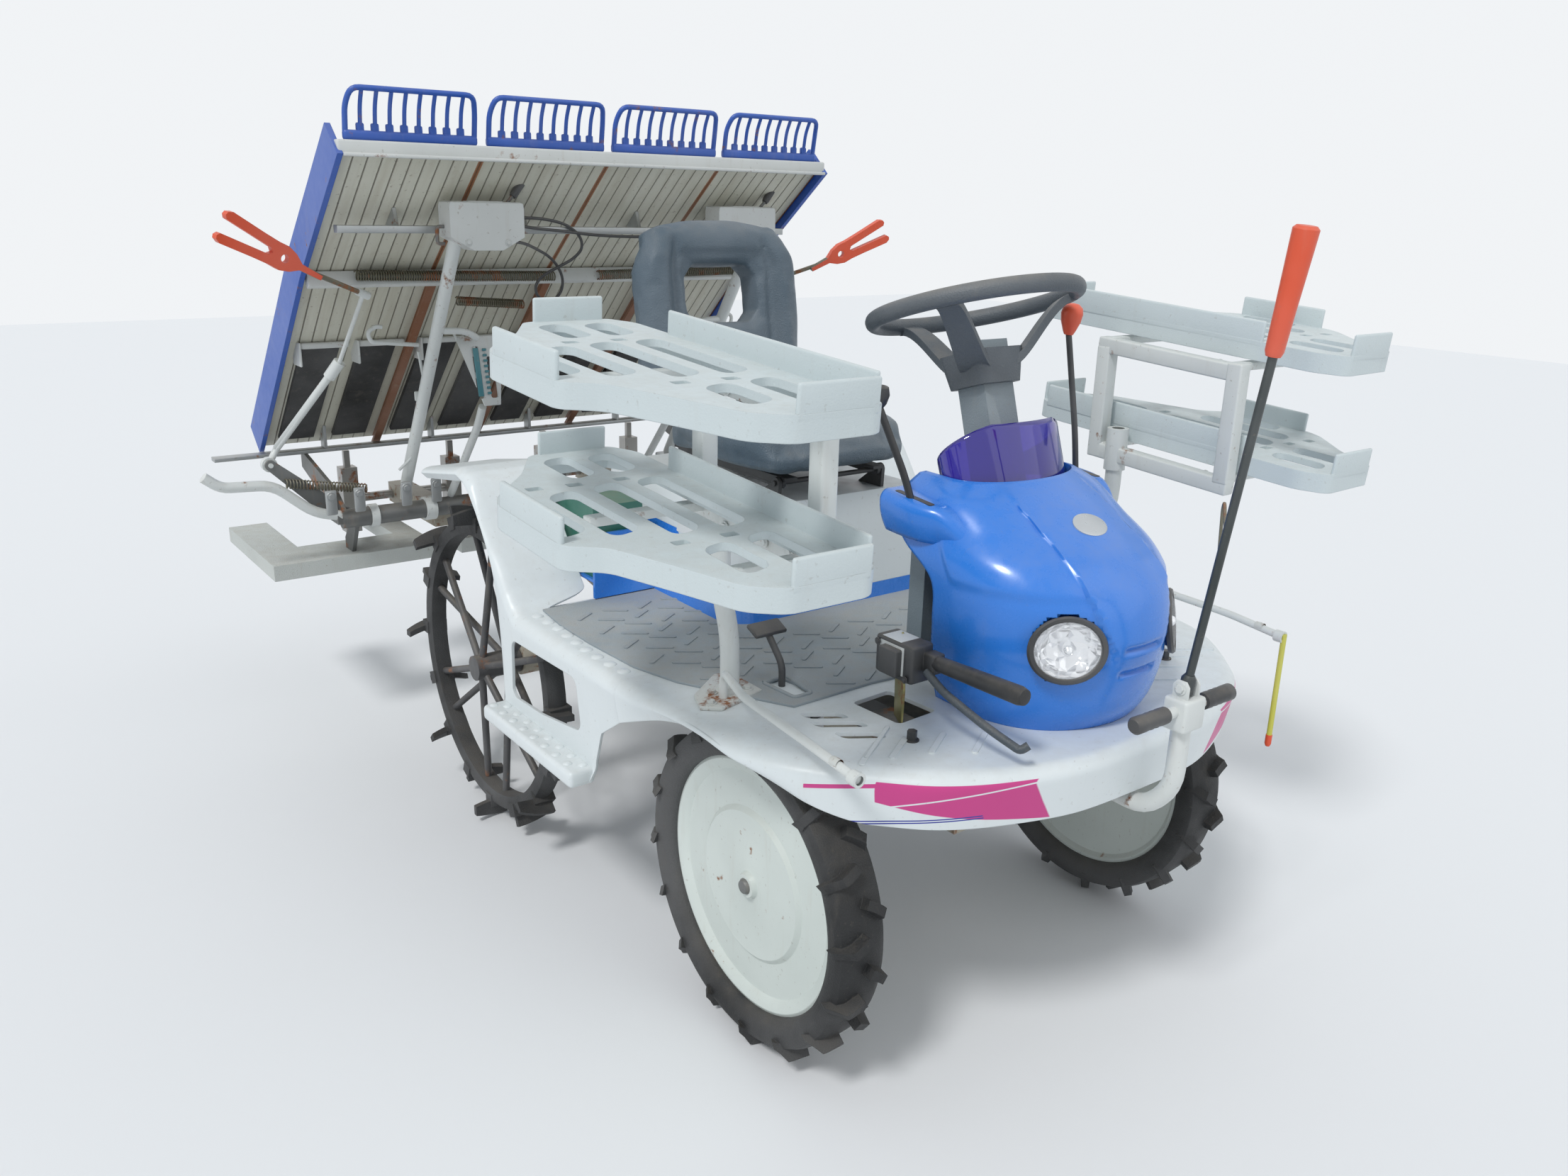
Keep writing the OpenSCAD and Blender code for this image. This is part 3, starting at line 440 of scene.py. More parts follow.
def held_within(bm, reach):
    """Brings what lies too far from the Z axis back to a radius in metres."""
    for v in bm.verts:
        out = math.hypot(v.co.x, v.co.y)
        if out > reach:
            v.co.x, v.co.y = v.co.x * reach / out, v.co.y * reach / out


def walled(piece, thickness, offset):
    wall = piece.modifiers.new("wall", "SOLIDIFY")
    wall.thickness = thickness
    wall.offset = offset


def smooth_row(rows, t):
    """The row at place t of a table of rows, on a smooth curve through them."""
    i = min(int(t), len(rows) - 2)
    u = t - i
    before, here, there, after = (rows[max(0, min(len(rows) - 1, i + k))] for k in (-1, 0, 1, 2))
    return [b + 0.5 * u * (c - a + u * (2 * a - 5 * b + 4 * c - d + u * (3 * (b - c) + d - a)))
            for a, b, c, d in zip(before, here, there, after)]


def ramp(value, low, high):
    u = max(0.0, min(1.0, (value - low) / (high - low)))
    return u * u * (3 - 2 * u)


def turned(profile, steps=48):
    """A solid of revolution about Z from a profile of (radius, height) in millimetres."""
    bm = bmesh.new()
    verts = [bm.verts.new((r / 1000, 0, z / 1000)) for r, z in profile]
    edges = [bm.edges.new(pair) for pair in zip(verts, verts[1:])]
    bmesh.ops.spin(bm, geom=verts + edges, cent=(0, 0, 0), axis=(0, 0, 1), angle=math.tau, steps=steps,
                   use_merge=True)
    bmesh.ops.remove_doubles(bm, verts=bm.verts, dist=0.00002)
    return bm


def placed(bm, place, turns=(0, 0, 0), scale=(1, 1, 1)):
    """Turns a bmesh, in degrees about X, Y and Z in that order, and moves its origin to a point."""
    matrix = Matrix.Translation(at(*place))
    for axis, turn in zip("ZYX", reversed(turns)):
        matrix = matrix @ Matrix.Rotation(math.radians(turn), 4, axis)
    bmesh.ops.transform(bm, matrix=matrix @ Matrix.Diagonal((*scale, 1)), verts=bm.verts)
    return bm


def block(x, y, z, round_by=0.0, segments=3, bm=None, turn=None):
    """A box from low and high corners in each direction, with rounded edges."""
    own = bmesh.new()
    bmesh.ops.create_cube(own, size=1)
    size = [(high - low) / 1000 for low, high in (x, y, z)]
    middle = at((x[0] + x[1]) / 2, (y[0] + y[1]) / 2, (z[0] + z[1]) / 2)
    bmesh.ops.scale(own, vec=size, verts=own.verts)
    if round_by:
        bevelled(own, own.edges[:], round_by, segments)
    if turn:
        spun(own, turn[1], turn[0])
    bmesh.ops.translate(own, vec=middle, verts=own.verts)
    return joined(bm, own)


def joined(bm, own):
    """Adds one bmesh to another and returns the whole."""
    if bm is None:
        return own
    mesh = bpy.data.meshes.new("joining")
    own.to_mesh(mesh)
    own.free()
    bm.from_mesh(mesh)
    bpy.data.meshes.remove(mesh)
    return bm


def swept(route, radius, sides):
    """An open skin of rings along a route in millimetres."""
    own = bmesh.new()
    rings = []
    last = len(route) - 1
    for i, point in enumerate(route):
        along = (route[min(i + 1, last)] - route[max(i - 1, 0)]).normalized()
        ring = bmesh.ops.create_circle(own, segments=sides, radius=radius / 1000)["verts"]
        turn = Vector((0, 0, 1)).rotation_difference(along).to_matrix().to_4x4()
        bmesh.ops.transform(own, matrix=Matrix.Translation(at(*point)) @ turn, verts=ring)
        rings.append({e for v in ring for e in v.link_edges})
    for low, high in zip(rings, rings[1:]):
        bmesh.ops.bridge_loops(own, edges=list(low | high))
    return own


def tube(points, radius, bm=None, sides=14, bend=24.0):
    """A round tube through points in millimetres, with its corners bent to a radius."""
    path = [Vector(p) for p in points]
    route = [path[0]]
    for before, corner, after in zip(path, path[1:], path[2:]):
        reach = min(bend, (corner - before).length * 0.45, (after - corner).length * 0.45)
        start, end = corner + (before - corner).normalized() * reach, corner + (after - corner).normalized() * reach
        route += [start.lerp(corner, u).lerp(corner.lerp(end, u), u) for u in (0, 0.25, 0.5, 0.75, 1)]
    route.append(path[-1])
    own = swept(route, radius, sides)
    bmesh.ops.holes_fill(own, edges=own.edges, sides=sides)
    return joined(bm, own)


def ball(place, radius, bm=None, scale=(1, 1, 1), segments=20):
    own = bmesh.new()
    bmesh.ops.create_uvsphere(own, u_segments=segments, v_segments=segments // 2, radius=radius / 1000)
    bmesh.ops.scale(own, vec=scale, verts=own.verts)
    bmesh.ops.translate(own, vec=at(*place), verts=own.verts)
    return joined(bm, own)


def bolts(places, axis, radius=7.0, height=5.0, bm=None):
    """Hexagon heads with washers, at places, standing along an axis."""
    turn = Vector((0, 0, 1)).rotation_difference(Vector(axis)).to_matrix().to_4x4()
    for place in places:
        own = bmesh.new()
        for sides, r, low, high in ((20, radius * 1.45, 0.0, 1.6), (6, radius, 1.6, height)):
            head = bmesh.new()
            bmesh.ops.create_cone(head, cap_ends=True, segments=sides, radius1=r / 1000, radius2=r / 1000,
                                  depth=(high - low) / 1000)
            bmesh.ops.translate(head, vec=(0, 0, (low + high) / 2000), verts=head.verts)
            joined(own, head)
        bmesh.ops.transform(own, matrix=Matrix.Translation(at(*place)) @ turn, verts=own.verts)
        bm = joined(bm, own)
    return bm


def plate(outline, thick, place, turns=(0, 0, 0), round_by=0.0, bm=None):
    """A flat plate from an outline in its own XY plane, thickened upwards, turned and placed."""
    own = bmesh.new()
    own.faces.new([own.verts.new((x / 1000, y / 1000, 0)) for x, y in outline])
    extruded(own, (0, 0, thick / 1000))
    bmesh.ops.recalc_face_normals(own, faces=own.faces)
    if round_by:
        bevelled(own, own.edges[:], round_by, 2)
    return joined(bm, placed(own, place, turns))


# Bonnet
BONNET = [(602, 165, -1314, -1160, -1082), (640, 178, -1337, -1150, -1085), (700, 190, -1351, -1145, -1088),
          (745, 196, -1352, -1140, -1092), (812, 200, -1335, -1135, -1087), (859, 198, -1295, -1110, -1020),
          (898, 186, -1235, -1085, -978), (935, 172, -1172, -1065, -984), (958, 138, -1134, -1052, -985)]


def mm(point):
    """A place in the row frame as millimetres from the rear axle."""
    return point[0] * 1000, (point[1] - AXLE_Y) * 1000, point[2] * 1000


def carved(bm, cutter):
    """Takes one closed shape out of another and returns what is left."""
    pair = []
    for shape in (bm, cutter):
        bmesh.ops.recalc_face_normals(shape, faces=shape.faces)
        mesh = bpy.data.meshes.new("carving")
        shape.to_mesh(mesh)
        shape.free()
        holder = bpy.data.objects.new("carving", mesh)
        scene.collection.objects.link(holder)
        pair.append(holder)
    tool = pair[0].modifiers.new("cut", "BOOLEAN")
    tool.operation, tool.object, tool.solver = "DIFFERENCE", pair[1], "EXACT"
    bpy.context.view_layer.update()
    left = bmesh.new()
    left.from_mesh(pair[0].evaluated_get(bpy.context.evaluated_depsgraph_get()).to_mesh())
    for holder in pair:
        mesh = holder.data
        bpy.data.objects.remove(holder)
        bpy.data.meshes.remove(mesh)
    return left


def pad(x, y, z, corner=12.0, turn=0.0, lean=0.0, bm=None):
    """An upright prism with rounded corners, for a slot or a nub: turned, and leaning across like a parallelogram."""
    own = bmesh.new()
    bmesh.ops.create_cube(own, size=1)
    bmesh.ops.scale(own, vec=((x[1] - x[0]) / 1000, (y[1] - y[0]) / 1000, (z[1] - z[0]) / 1000), verts=own.verts)
    for v in own.verts:
        v.co.y += v.co.x * lean
    bevelled(own, [e for e in own.edges if abs(e.verts[0].co.z - e.verts[1].co.z) > 0.0005], corner, 5)
    spun(own, turn)
    bmesh.ops.translate(own, vec=at((x[0] + x[1]) / 2, (y[0] + y[1]) / 2, (z[0] + z[1]) / 2), verts=own.verts)
    return joined(bm, own)


def bonnet_skin():
    """The pressed cover: a grid laid on the bonnet's sections, with its creases and two louvres."""
    bm = bmesh.new()
    across, up = 130, 96
    bmesh.ops.create_grid(bm, x_segments=across, y_segments=up, size=1)
    for v in bm.verts:
        z, w, front, mid, back = smooth_row(BONNET, (v.co.y + 1) / 2 * (len(BONNET) - 1))
        turn = (v.co.x * 1.16 + 1) / 2 * math.pi
        if abs(v.co.x) <= 1 / 1.16:
            x, y = -w * math.cos(turn), mid - (mid - front) * math.sin(turn) ** 0.9
        else:
            down = (abs(v.co.x) - 1 / 1.16) / (1 - 1 / 1.16)
            x, y = math.copysign(w * (1 - 0.02 * down), v.co.x), mid + (back - mid) * down
        crease = 26 + 62 * ramp(z, 640, 850)
        proud = 9 * ramp(crease + 5 - abs(x), 0, 5) * ramp(z, 700, 760) * (1 - ramp(z, 925, 957))
        brow = 5 * ramp(z, 812, 832) * (1 - ramp(z, 850, 900)) * ramp(abs(x), 60, 100)
        slit = sum(1 - min(1, abs(z - low) / 7) for low in (702, 742)) * ramp(44 - abs(x), 0, 10)
        out = Vector((x, (y - mid) * 0.9, 0)).normalized() * (proud + brow - 9 * slit)
        v.co = at(x + out.x, y + out.y, z) if y < mid - 6 else at(x, y, z)
        off = v.co - at(math.copysign(124, x), -1311, 748)
        axis = Vector((math.copysign(0.551, x), -0.817, 0.174))
        if (off - axis * off.dot(axis)).length < 0.051 and off.dot(axis) > -0.04:
            v.co -= axis * 0.034
    rim = [e for e in bm.edges if e.is_boundary]
    top = [e for e in rim if all(v.co.z > 0.955 for v in e.verts)]
    grown = bmesh.ops.extrude_edge_only(bm, edges=top)
    centre = at(0, -1050, 0)
    for v in verts_of(grown):
        v.co = Vector((v.co.x * 0.93, centre.y + (v.co.y - centre.y) * 0.93, v.co.z + 0.002))
    lip = [e for e in grown["geom"] if isinstance(e, bmesh.types.BMEdge) and e.is_boundary]
    for v in verts_of(bmesh.ops.extrude_edge_only(bm, edges=lip)):
        v.co = Vector((v.co.x * 0.985, centre.y + (v.co.y - centre.y) * 0.985, v.co.z - 0.03))
    walled(made("bonnet_skin", bm, "blue_moulding", "chassis", "bonnet", sharp=50), 0.004, -1)


def bonnet_ears():
    """The flaps behind the collar, which run out into the bonnet's sides, each with a slot for its lever."""
    bm = slots_in = None
    for s in (-1, 1):
        own = bmesh.new()
        bmesh.ops.create_grid(own, x_segments=26, y_segments=60, size=1)
        for v in own.verts:
            u, t = (v.co.x + 1) / 2, (v.co.y + 1) / 2
            y = -984 - 226 * t
            outer = 216 + 5 * math.sin(math.pi * min(1, t * 2)) - 44 * ramp(t, 0.30, 1.0) - 30 * t * t * t
            top = 937 - 20 * t - 74 * ramp(t, 0.45, 1.0)
            low = 872 - 4 * t - 40 * ramp(t, 0.5, 1.0)
            if u < 0.5:
                x, z = 138 + (outer - 14 - 138) * u * 2, top
            elif u < 0.72:
                a = (u - 0.5) / 0.22 * math.pi / 2
                x, z = outer - 14 + 14 * math.sin(a), top - 14 * (1 - math.cos(a))
            else:
                a = (u - 0.72) / 0.28
                x, z = outer - 16 * a * a, top - 14 + (low - top + 14) * a
            v.co = at(s * x, y, z)
        bmesh.ops.recalc_face_normals(own, faces=own.faces)
        bm = joined(bm, own)
        slots_in = pad((s * 197.5 - 6, s * 197.5 + 6), (-1084, -1000), (920, 938), 5, 0, 0, slots_in)
    for v in slots_in.verts:
        if v.co.z > 0.93:
            back = (-984 - mm(v.co)[1]) / 226
            v.co.z = (940 - 20 * back - 74 * ramp(back, 0.45, 1.0)) / 1000
    walled(made("bonnet_ears", bm, "blue_moulding", "chassis", recalculate=False), 0.005, 0)
    made("lever_slots", slots_in, "black_plastic", "chassis")


def lamps():
    """Each headlamp: a black rim, a faceted bright dish and a clear lens."""
    rims = dishes = lenses = None
    for s in (-1, 1):
        place, turns, oval = (s * 124, -1311, 748), (80, 0, s * 34), (1, 0.84, 1)
        rim = turned([(52, -4), (60, -4), (62, 2), (59, 6), (53, 6), (51, 2), (52, -4)])
        rims = joined(rims, placed(rim, place, turns, oval))
        dish = turned([(0.01, -22), (16, -21), (34, -16), (47, -8), (53, 1)], 60)
        dishes = joined(dishes, placed(dish, place, turns, oval))
        lens = turned([(53, 3), (44, 6), (26, 9), (0.01, 10)], 60)
        lenses = joined(lenses, placed(lens, place, turns, oval))
        dishes = ball((s * 124, -1312, 748), 9, dishes)
    made("lamp_rims", rims, "black_plastic", "chassis")
    chrome = Finish("lamp dish", (0.86, 0.87, 0.89), 0.16, 1.0)
    chrome.set("Normal", chrome.bump(chrome.facets(52.0), 0.004))
    made("lamp_dishes", dishes, "lamp_lens", "chassis", material=chrome)
    clear = Finish("clear lens", (0.96, 0.98, 1.0), 0.03, alpha=0.22, ior=1.5, coat_weight=1.0)
    made("lamp_lenses", lenses, "lamp_lens", "chassis", "headlamps", material=clear)


def visor():
    """The tinted screen: a leaning oval wall, cut down towards the rider."""
    bm = bmesh.new()
    bmesh.ops.create_grid(bm, x_segments=56, y_segments=12, size=1)
    for v in bm.verts:
        turn = math.radians(-90 + 134 * v.co.x)
        x, y = 124 * math.cos(turn), 77 * math.sin(turn)
        up = (v.co.y + 1) / 2 * (30 + 82 * max(0.0, min(1.0, (60 - y) / 124)))
        lean = math.radians(20)
        v.co = at(x * (1 + 0.02 * up / 90), -1050 + y * math.cos(lean) + up * math.sin(lean),
                  934 - y * math.sin(lean) * 0.2 + up * math.cos(lean))
    tint = Finish("tinted screen", (0.055, 0.035, 0.42), 0.07, transmission_weight=0.55, ior=1.49, coat_weight=0.6)
    walled(made("visor_screen", bm, "visor_tint", "chassis", "meter_visor", material=tint, sharp=80), 0.003, 0)


bonnet_skin()
bonnet_ears()
lamps()
visor()


# Steering wheel
def steering_wheel():
    hub = at(0, -949, 1215)
    lean = Matrix.Translation(hub) @ Matrix.Rotation(math.radians(-17), 4, "X")
    rim = bmesh.new()
    ring = bmesh.ops.create_circle(rim, segments=20, radius=0.013)["verts"]
    bmesh.ops.transform(rim, matrix=Matrix.Translation((0.169, 0, 0)) @ Matrix.Rotation(math.radians(90), 4, "X")
                        @ Matrix.Diagonal((1.0, 1.12, 1, 1)), verts=ring)
    bmesh.ops.spin(rim, geom=rim.verts[:] + rim.edges[:], cent=(0, 0, 0), axis=(0, 0, 1), angle=math.tau, steps=72,
                   use_merge=True)
    bmesh.ops.remove_doubles(rim, verts=rim.verts, dist=0.00005)
    for turn in (90, 210, 330):
        spoke = bmesh.new()
        bmesh.ops.create_grid(spoke, x_segments=14, y_segments=2, size=1)
        for v in spoke.verts:
            u = (v.co.x + 1) / 2
            reach, drop = 0.044 + 0.122 * u, -0.094 + 0.092 * ramp(u, 0.0, 1.0) ** 0.8
            v.co = Vector((reach, v.co.y * (0.026 - 0.009 * u), drop))
        extruded(spoke, (0.004, 0, -0.013))
        bmesh.ops.recalc_face_normals(spoke, faces=spoke.faces)
        softened(spoke, 3.5, 3, 50)
        spun(spoke, turn)
        rim = joined(rim, spoke)
    box = bmesh.new()
    bmesh.ops.create_cube(box, size=1)
    bmesh.ops.scale(box, vec=(0.112, 0.104, 0.056), verts=box.verts)
    for v in box.verts:
        if v.co.z < 0:
            v.co.x *= 0.86
            v.co.y *= 0.86
    bevelled(box, [e for e in box.edges if abs(e.verts[0].co.z - e.verts[1].co.z) > 0.02], 20, 6)
    softened(box, 6, 4, 40)
    top = max(box.faces, key=lambda f: f.calc_center_median().z)
    bmesh.ops.inset_region(box, faces=[top], thickness=0.009, depth=-0.002)
    bmesh.ops.translate(box, vec=(0, 0, -0.104), verts=box.verts)
    rim = joined(rim, box)
    neck = turned([(0.01, -176), (17, -176), (17, -140), (26, -132), (26, -124), (0.01, -124)], 28)
    rim = joined(rim, neck)
    bmesh.ops.transform(rim, matrix=lean, verts=rim.verts)
    made("wheel_form", rim, "wheel_grey", "steering", "steering_wheel")


steering_wheel()


# Seat
# How far the filling may push the cover out, in metres, and how hard it pushes
FILL_CAP = 0.009
FILL_PRESSURE = 3.5


def padded_skin(bm, name, node):
    """Blows a closed shape up a little as cloth, so that it takes the form of a stuffed cover."""
    bmesh.ops.recalc_face_normals(bm, faces=bm.faces)
    mesh = bpy.data.meshes.new(name)
    bm.to_mesh(mesh)
    bm.free()
    piece = bpy.data.objects.new(name, mesh)
    scene.collection.objects.link(piece)
    for other in bpy.context.selected_objects:
        other.select_set(False)
    bpy.context.view_layer.objects.active = piece
    piece.select_set(True)
    remesh = piece.modifiers.new("remesh", "REMESH")
    remesh.mode = "VOXEL"
    remesh.voxel_size = 0.0055
    bpy.ops.object.modifier_apply(modifier="remesh")
    start = [v.co.copy() for v in piece.data.vertices]
    cloth = piece.modifiers.new("cloth", "CLOTH")
    cloth.settings.use_pressure = True
    cloth.settings.uniform_pressure_force = FILL_PRESSURE
    cloth.settings.effector_weights.gravity = 0
    cloth.point_cache.frame_start, cloth.point_cache.frame_end = 1, 20
    for number in range(1, 21):
        scene.frame_set(number)
    bpy.ops.object.modifier_apply(modifier="cloth")
    scene.frame_set(1)
    for v, first in zip(piece.data.vertices, start):
        moved = v.co - first
        if moved.length > FILL_CAP:
            v.co = first + moved.normalized() * FILL_CAP
    bm = bmesh.new()
    bm.from_mesh(piece.data)
    for _ in range(3):
        bmesh.ops.smooth_vert(bm, verts=bm.verts, factor=0.5, use_axis_x=True, use_axis_y=True, use_axis_z=True)
    bm.to_mesh(piece.data)
    bm.free()
    subdivide = piece.modifiers.new("smooth", "SUBSURF")
    subdivide.levels = subdivide.render_levels = 1
    piece.data.shade_smooth()
    piece.data.materials.append(slots["seat_vinyl"])
    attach(piece, "seat")
    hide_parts(node)


def cushion_form():
    """The sitting pad before it is stuffed: thin in the middle, with two side rolls and a rolled front."""
    bm = bmesh.new()
    bmesh.ops.create_grid(bm, x_segments=44, y_segments=40, size=1)
    low, high = -649, -259
    for v in bm.verts:
        u, w = v.co.x, (v.co.y + 1) / 2
        corner = (1 - 0.07 * abs(v.co.x) ** 6 - 0.05 * (1 - w) ** 4)
        x = u * 207 * corner * (0.93 + 0.07 * math.sin(math.pi * min(1, w * 1.15)))
        y = low + (high - low) * w
        y += 26 * abs(u) ** 4 * (1 - 2 * w)
        roll = ramp(abs(u), 0.60, 0.74) * (1 - ramp(abs(u), 0.86, 1.0) * 0.9)
        seam = math.exp(-((abs(u) - 0.62) / 0.035) ** 2)
        nose = 1 - ramp(0.13 - w, 0, 0.13) * 0.62
        z = 950 - 14 * math.sin(math.pi * w) * (1 - u * u) + 16 * roll * ramp(w, 0.0, 0.3) - 11 * seam
        cross = math.exp(-((w - 0.80) / 0.018) ** 2) * (1 - ramp(abs(u), 0.5, 0.62))
        v.co = at(x, y, 894 + (z - 894) * nose * (1 - 0.5 * ramp(w, 0.93, 1.0)) - 7 * cross)
    grown = bmesh.ops.extrude_face_region(bm, geom=bm.faces[:])
    for v in verts_of(grown):
        v.co.z = 0.890
    bmesh.ops.remove_doubles(bm, verts=bm.verts, dist=0.0001)
    return bm


def back_form():
    """The backrest before it is stuffed: an arched pad with an opening near its foot and seams at its sides."""
    bm = bmesh.new()
    bmesh.ops.create_grid(bm, x_segments=44, y_segments=44, size=1)
    for v in bm.verts:
        u, h = v.co.x, (v.co.y + 1) / 2
        width = 199 - 30 * ramp(h, 0.72, 1.0) - 26 * ramp(0.2 - h, 0, 0.2)
        rise = 376 * h - 26 * abs(u) ** 3.0 * ramp(h, 0.6, 1.0)
        roll = ramp(abs(u), 0.62, 0.78) * (1 - ramp(abs(u), 0.88, 1.0)) * (1 - ramp(h, 0.8, 1.0) * 0.7)
        seam = math.exp(-((abs(u) - 0.62) / 0.035) ** 2) * ramp(h, 0.06, 0.2) * (1 - ramp(h, 0.84, 0.95))
        cross = math.exp(-((h - 0.80) / 0.02) ** 2) * (1 - ramp(abs(u), 0.5, 0.62))
        depth = 34 + 22 * roll - 10 * seam - 8 * cross - 16 * ramp(abs(u), 0.9, 1.0) - 12 * ramp(h, 0.93, 1.0)
        v.co = Vector((u * width / 1000, rise / 1000, depth / 1000))
    middles = [(f, f.calc_center_median()) for f in bm.faces]
    hole = [f for f, c in middles if 0.160 < c.y < 0.284 and (abs(c.x) / 0.088) ** 5 + (abs(c.y - 0.222) / 0.062) ** 5 < 1]
    bmesh.ops.delete(bm, geom=hole, context="FACES")
    grown = bmesh.ops.extrude_face_region(bm, geom=bm.faces[:])
    for v in verts_of(grown):
        v.co.z = -0.018 - 0.014 * (1 - (v.co.x / 0.2) ** 2)
    bmesh.ops.transform(bm, matrix=Matrix.Translation(at(0, -206, 958)) @ Matrix.Rotation(math.radians(82), 4, "X"),
                        verts=bm.verts)
    return bm


padded_skin(cushion_form(), "cushion_cover", "seat_cushion")
padded_skin(back_form(), "backrest_cover", "seat_back")


# The deck's edge, from the middle of the nose back: fold, widest place, lower edge with its height
DECK_EDGE = [(0, -1364, 0, -1386, 0, -1378, 512), (140, -1360, 146, -1382, 144, -1372, 512),
             (258, -1324, 274, -1345, 268, -1334, 511), (338, -1278, 360, -1300, 348, -1294, 511),
             (400, -1222, 425, -1240, 405, -1250, 514), (450, -1162, 482, -1176, 448, -1212, 520),
             (484, -1106, 520, -1118, 492, -1160, 540), (500, -1046, 544, -1050, 514, -1097, 562),
             (508, -970, 552, -970, 527, -1030, 581), (520, -900, 559, -896, 538, -950, 585),
             (536, -820, 566, -815, 550, -862, 573), (548, -738, 571, -738, 563, -738, 526)]


def deck_form():
    """The front moulding: a lid over the front wheels with a soft shoulder and a skirt that follows the wheel arches."""
    bm = bmesh.new()
    around, down = 150, 46
    bmesh.ops.create_grid(bm, x_segments=around, y_segments=down, size=1)
    for v in bm.verts:
        fx, fy, wx, wy, bx, by, bz = smooth_row(DECK_EDGE, abs(v.co.x) * (len(DECK_EDGE) - 1))
        s = 1 if v.co.x > 0 else -1
        t = (v.co.y + 1) / 2 * down
        if t <= 28:
            u = t / 28
            centre_y = max(fy, -1140)
            x, y, z = fx * u, centre_y + (fy - centre_y) * u, 602
        elif t <= 37:
            u = (t - 28) / 9 * math.pi / 2
            x, y = fx + (wx - fx) * math.sin(u), fy + (wy - fy) * math.sin(u)
            z = 602 - min(22, (602 - bz) * 0.6) * (1 - math.cos(u))
        else:
            u = (t - 37) / (down - 37)
            top = 602 - min(22, (602 - bz) * 0.6)
            x, y, z = wx + (bx - wx) * u ** 1.3, wy + (by - wy) * u, top + (bz - top) * u
        v.co = at(s * x, y, z)
    bmesh.ops.remove_doubles(bm, verts=bm.verts, dist=0.0004)
    facing_outwards(bm)
    bmesh.ops.solidify(bm, geom=bm.faces[:], thickness=0.007)
    cutter = None
    for s in (-1, 1):
        for low, high, y in ((335, 392, -1040), (330, 398, -1078), (334, 392, -1128)):
            x = sorted((s * low, s * high))
            cutter = pad(x, (y - 13, y + 13), (580, 620), 9, 0, s * 0.62, cutter)
    cutter = pad((-290, -205), (-1128, -1022), (580, 620), 10, 4, 0, cutter)
    made("deck_moulding", carved(bm, cutter), "white_moulding", "chassis", "deck", sharp=40, material=STRIPED)
    floor = block((-500.8, 500.8), (-738, -330), (594, 601.6), 0)
    made("deck_floor", floor, "white_moulding", "chassis")
    trim = None
    for s in (-1, 1):
        for x, y, turn in ((285, -1215, -32), (345, -1195, -32), (230, -1250, -32), (395, -1185, -32)):
            trim = pad((s * x - 40, s * x + 40), (y - 5, y + 5), (601, 604), 5, s * turn, 0, trim)
        trim = pad(sorted((s * 300, s * 420)), (-1167, -1160), (601, 605), 3, s * -33, 0, trim)
    made("deck_ribs", trim, "white_moulding", "chassis")
    made("deck_bolt", bolts([(-310, -1185, 602), (310, -1185, 602)], (0, 0, 1), 8, 16), "black_plastic", "chassis")
    well = block((-292, -203), (-1130, -1020), (566, 572), 0)
    made("lever_well", well, "frame_paint", "chassis")


def mat_form():
    """The grey rubber mat in one piece across the floor, with raised bars."""
    half = [(0, -1000), (217, -984), (385, -990), (432, -905), (486, -800), (512, -700), (520, -560), (519, -440),
            (508, -346)]
    outline = half + [(-x, y) for x, y in reversed(half) if x]
    bm = plate(outline, 5, (0, 0, 601.5), round_by=1.6)
    cutter = pad((-366, -326), (-962, -886), (590, 620), 10, 8, 0)
    bm = carved(bm, cutter)
    bars = None
    for row in range(13):
        y = -960 + row * 44
        for column in range(-7, 8):
            x = column * 66 + (row % 2) * 33
            if abs(x) > 470 - 80 * ramp(-y, 700, 960) or (abs(x) < 250 and y > -740) or (abs(x) < 190 and y < -900):
                continue
            if -410 < x < -290 and y < -850:
                continue
            bars = pad((x - 25, x + 25), (y - 4, y + 4), (606, 608.4), 4, 34 if (row + column) % 2 else -34, 0, bars)
    made("mat_sheet", bm, "mat_grey", "chassis", "floor_mat")
    made("mat_bars", bars, "mat_grey", "chassis")
    rim = tube([(-371, -890, 607), (-366, -966, 607), (-330, -966, 607), (-322, -886, 607), (-371, -886, 607)], 3.5,
               bend=8)
    made("pedal_rim", rim, "mat_grey", "chassis")
    pedal = tube([(-346, -905, 560), (-346, -905, 640), (-352, -868, 690)], 6, bend=16)
    pedal = block((-384, -320), (-884, -852), (690, 698), 3, bm=pedal, turn=("X", 24))
    made("brake_pedal", pedal, "black_plastic", "chassis")


# Fender edge: fold and lower boundary along the machine, each (rearward, height)
FENDER_EDGE = [(-738, 602, -738, 526), (-700, 602, -700, 500), (-668, 602, -668, 478), (-646, 602, -648, 420),
               (-634, 602, -640, 374),
               (-590, 602, -600, 366), (-500, 602, -500, 366), (-420, 602, -410, 366), (-350, 602, -330, 366),
               (-328, 618, -286, 366),
               (-306, 642, -268, 372), (-286, 670, -264, 470), (-262, 700, -256, 584), (-238, 730, -262, 636),
               (-212, 764, -238, 690),
               (-188, 800, -200, 742), (-166, 828, -168, 782), (-138, 843, -138, 806), (-104, 848, -104, 818),
               (-30, 834, -30, 806),
               (84, 813, 84, 788)]


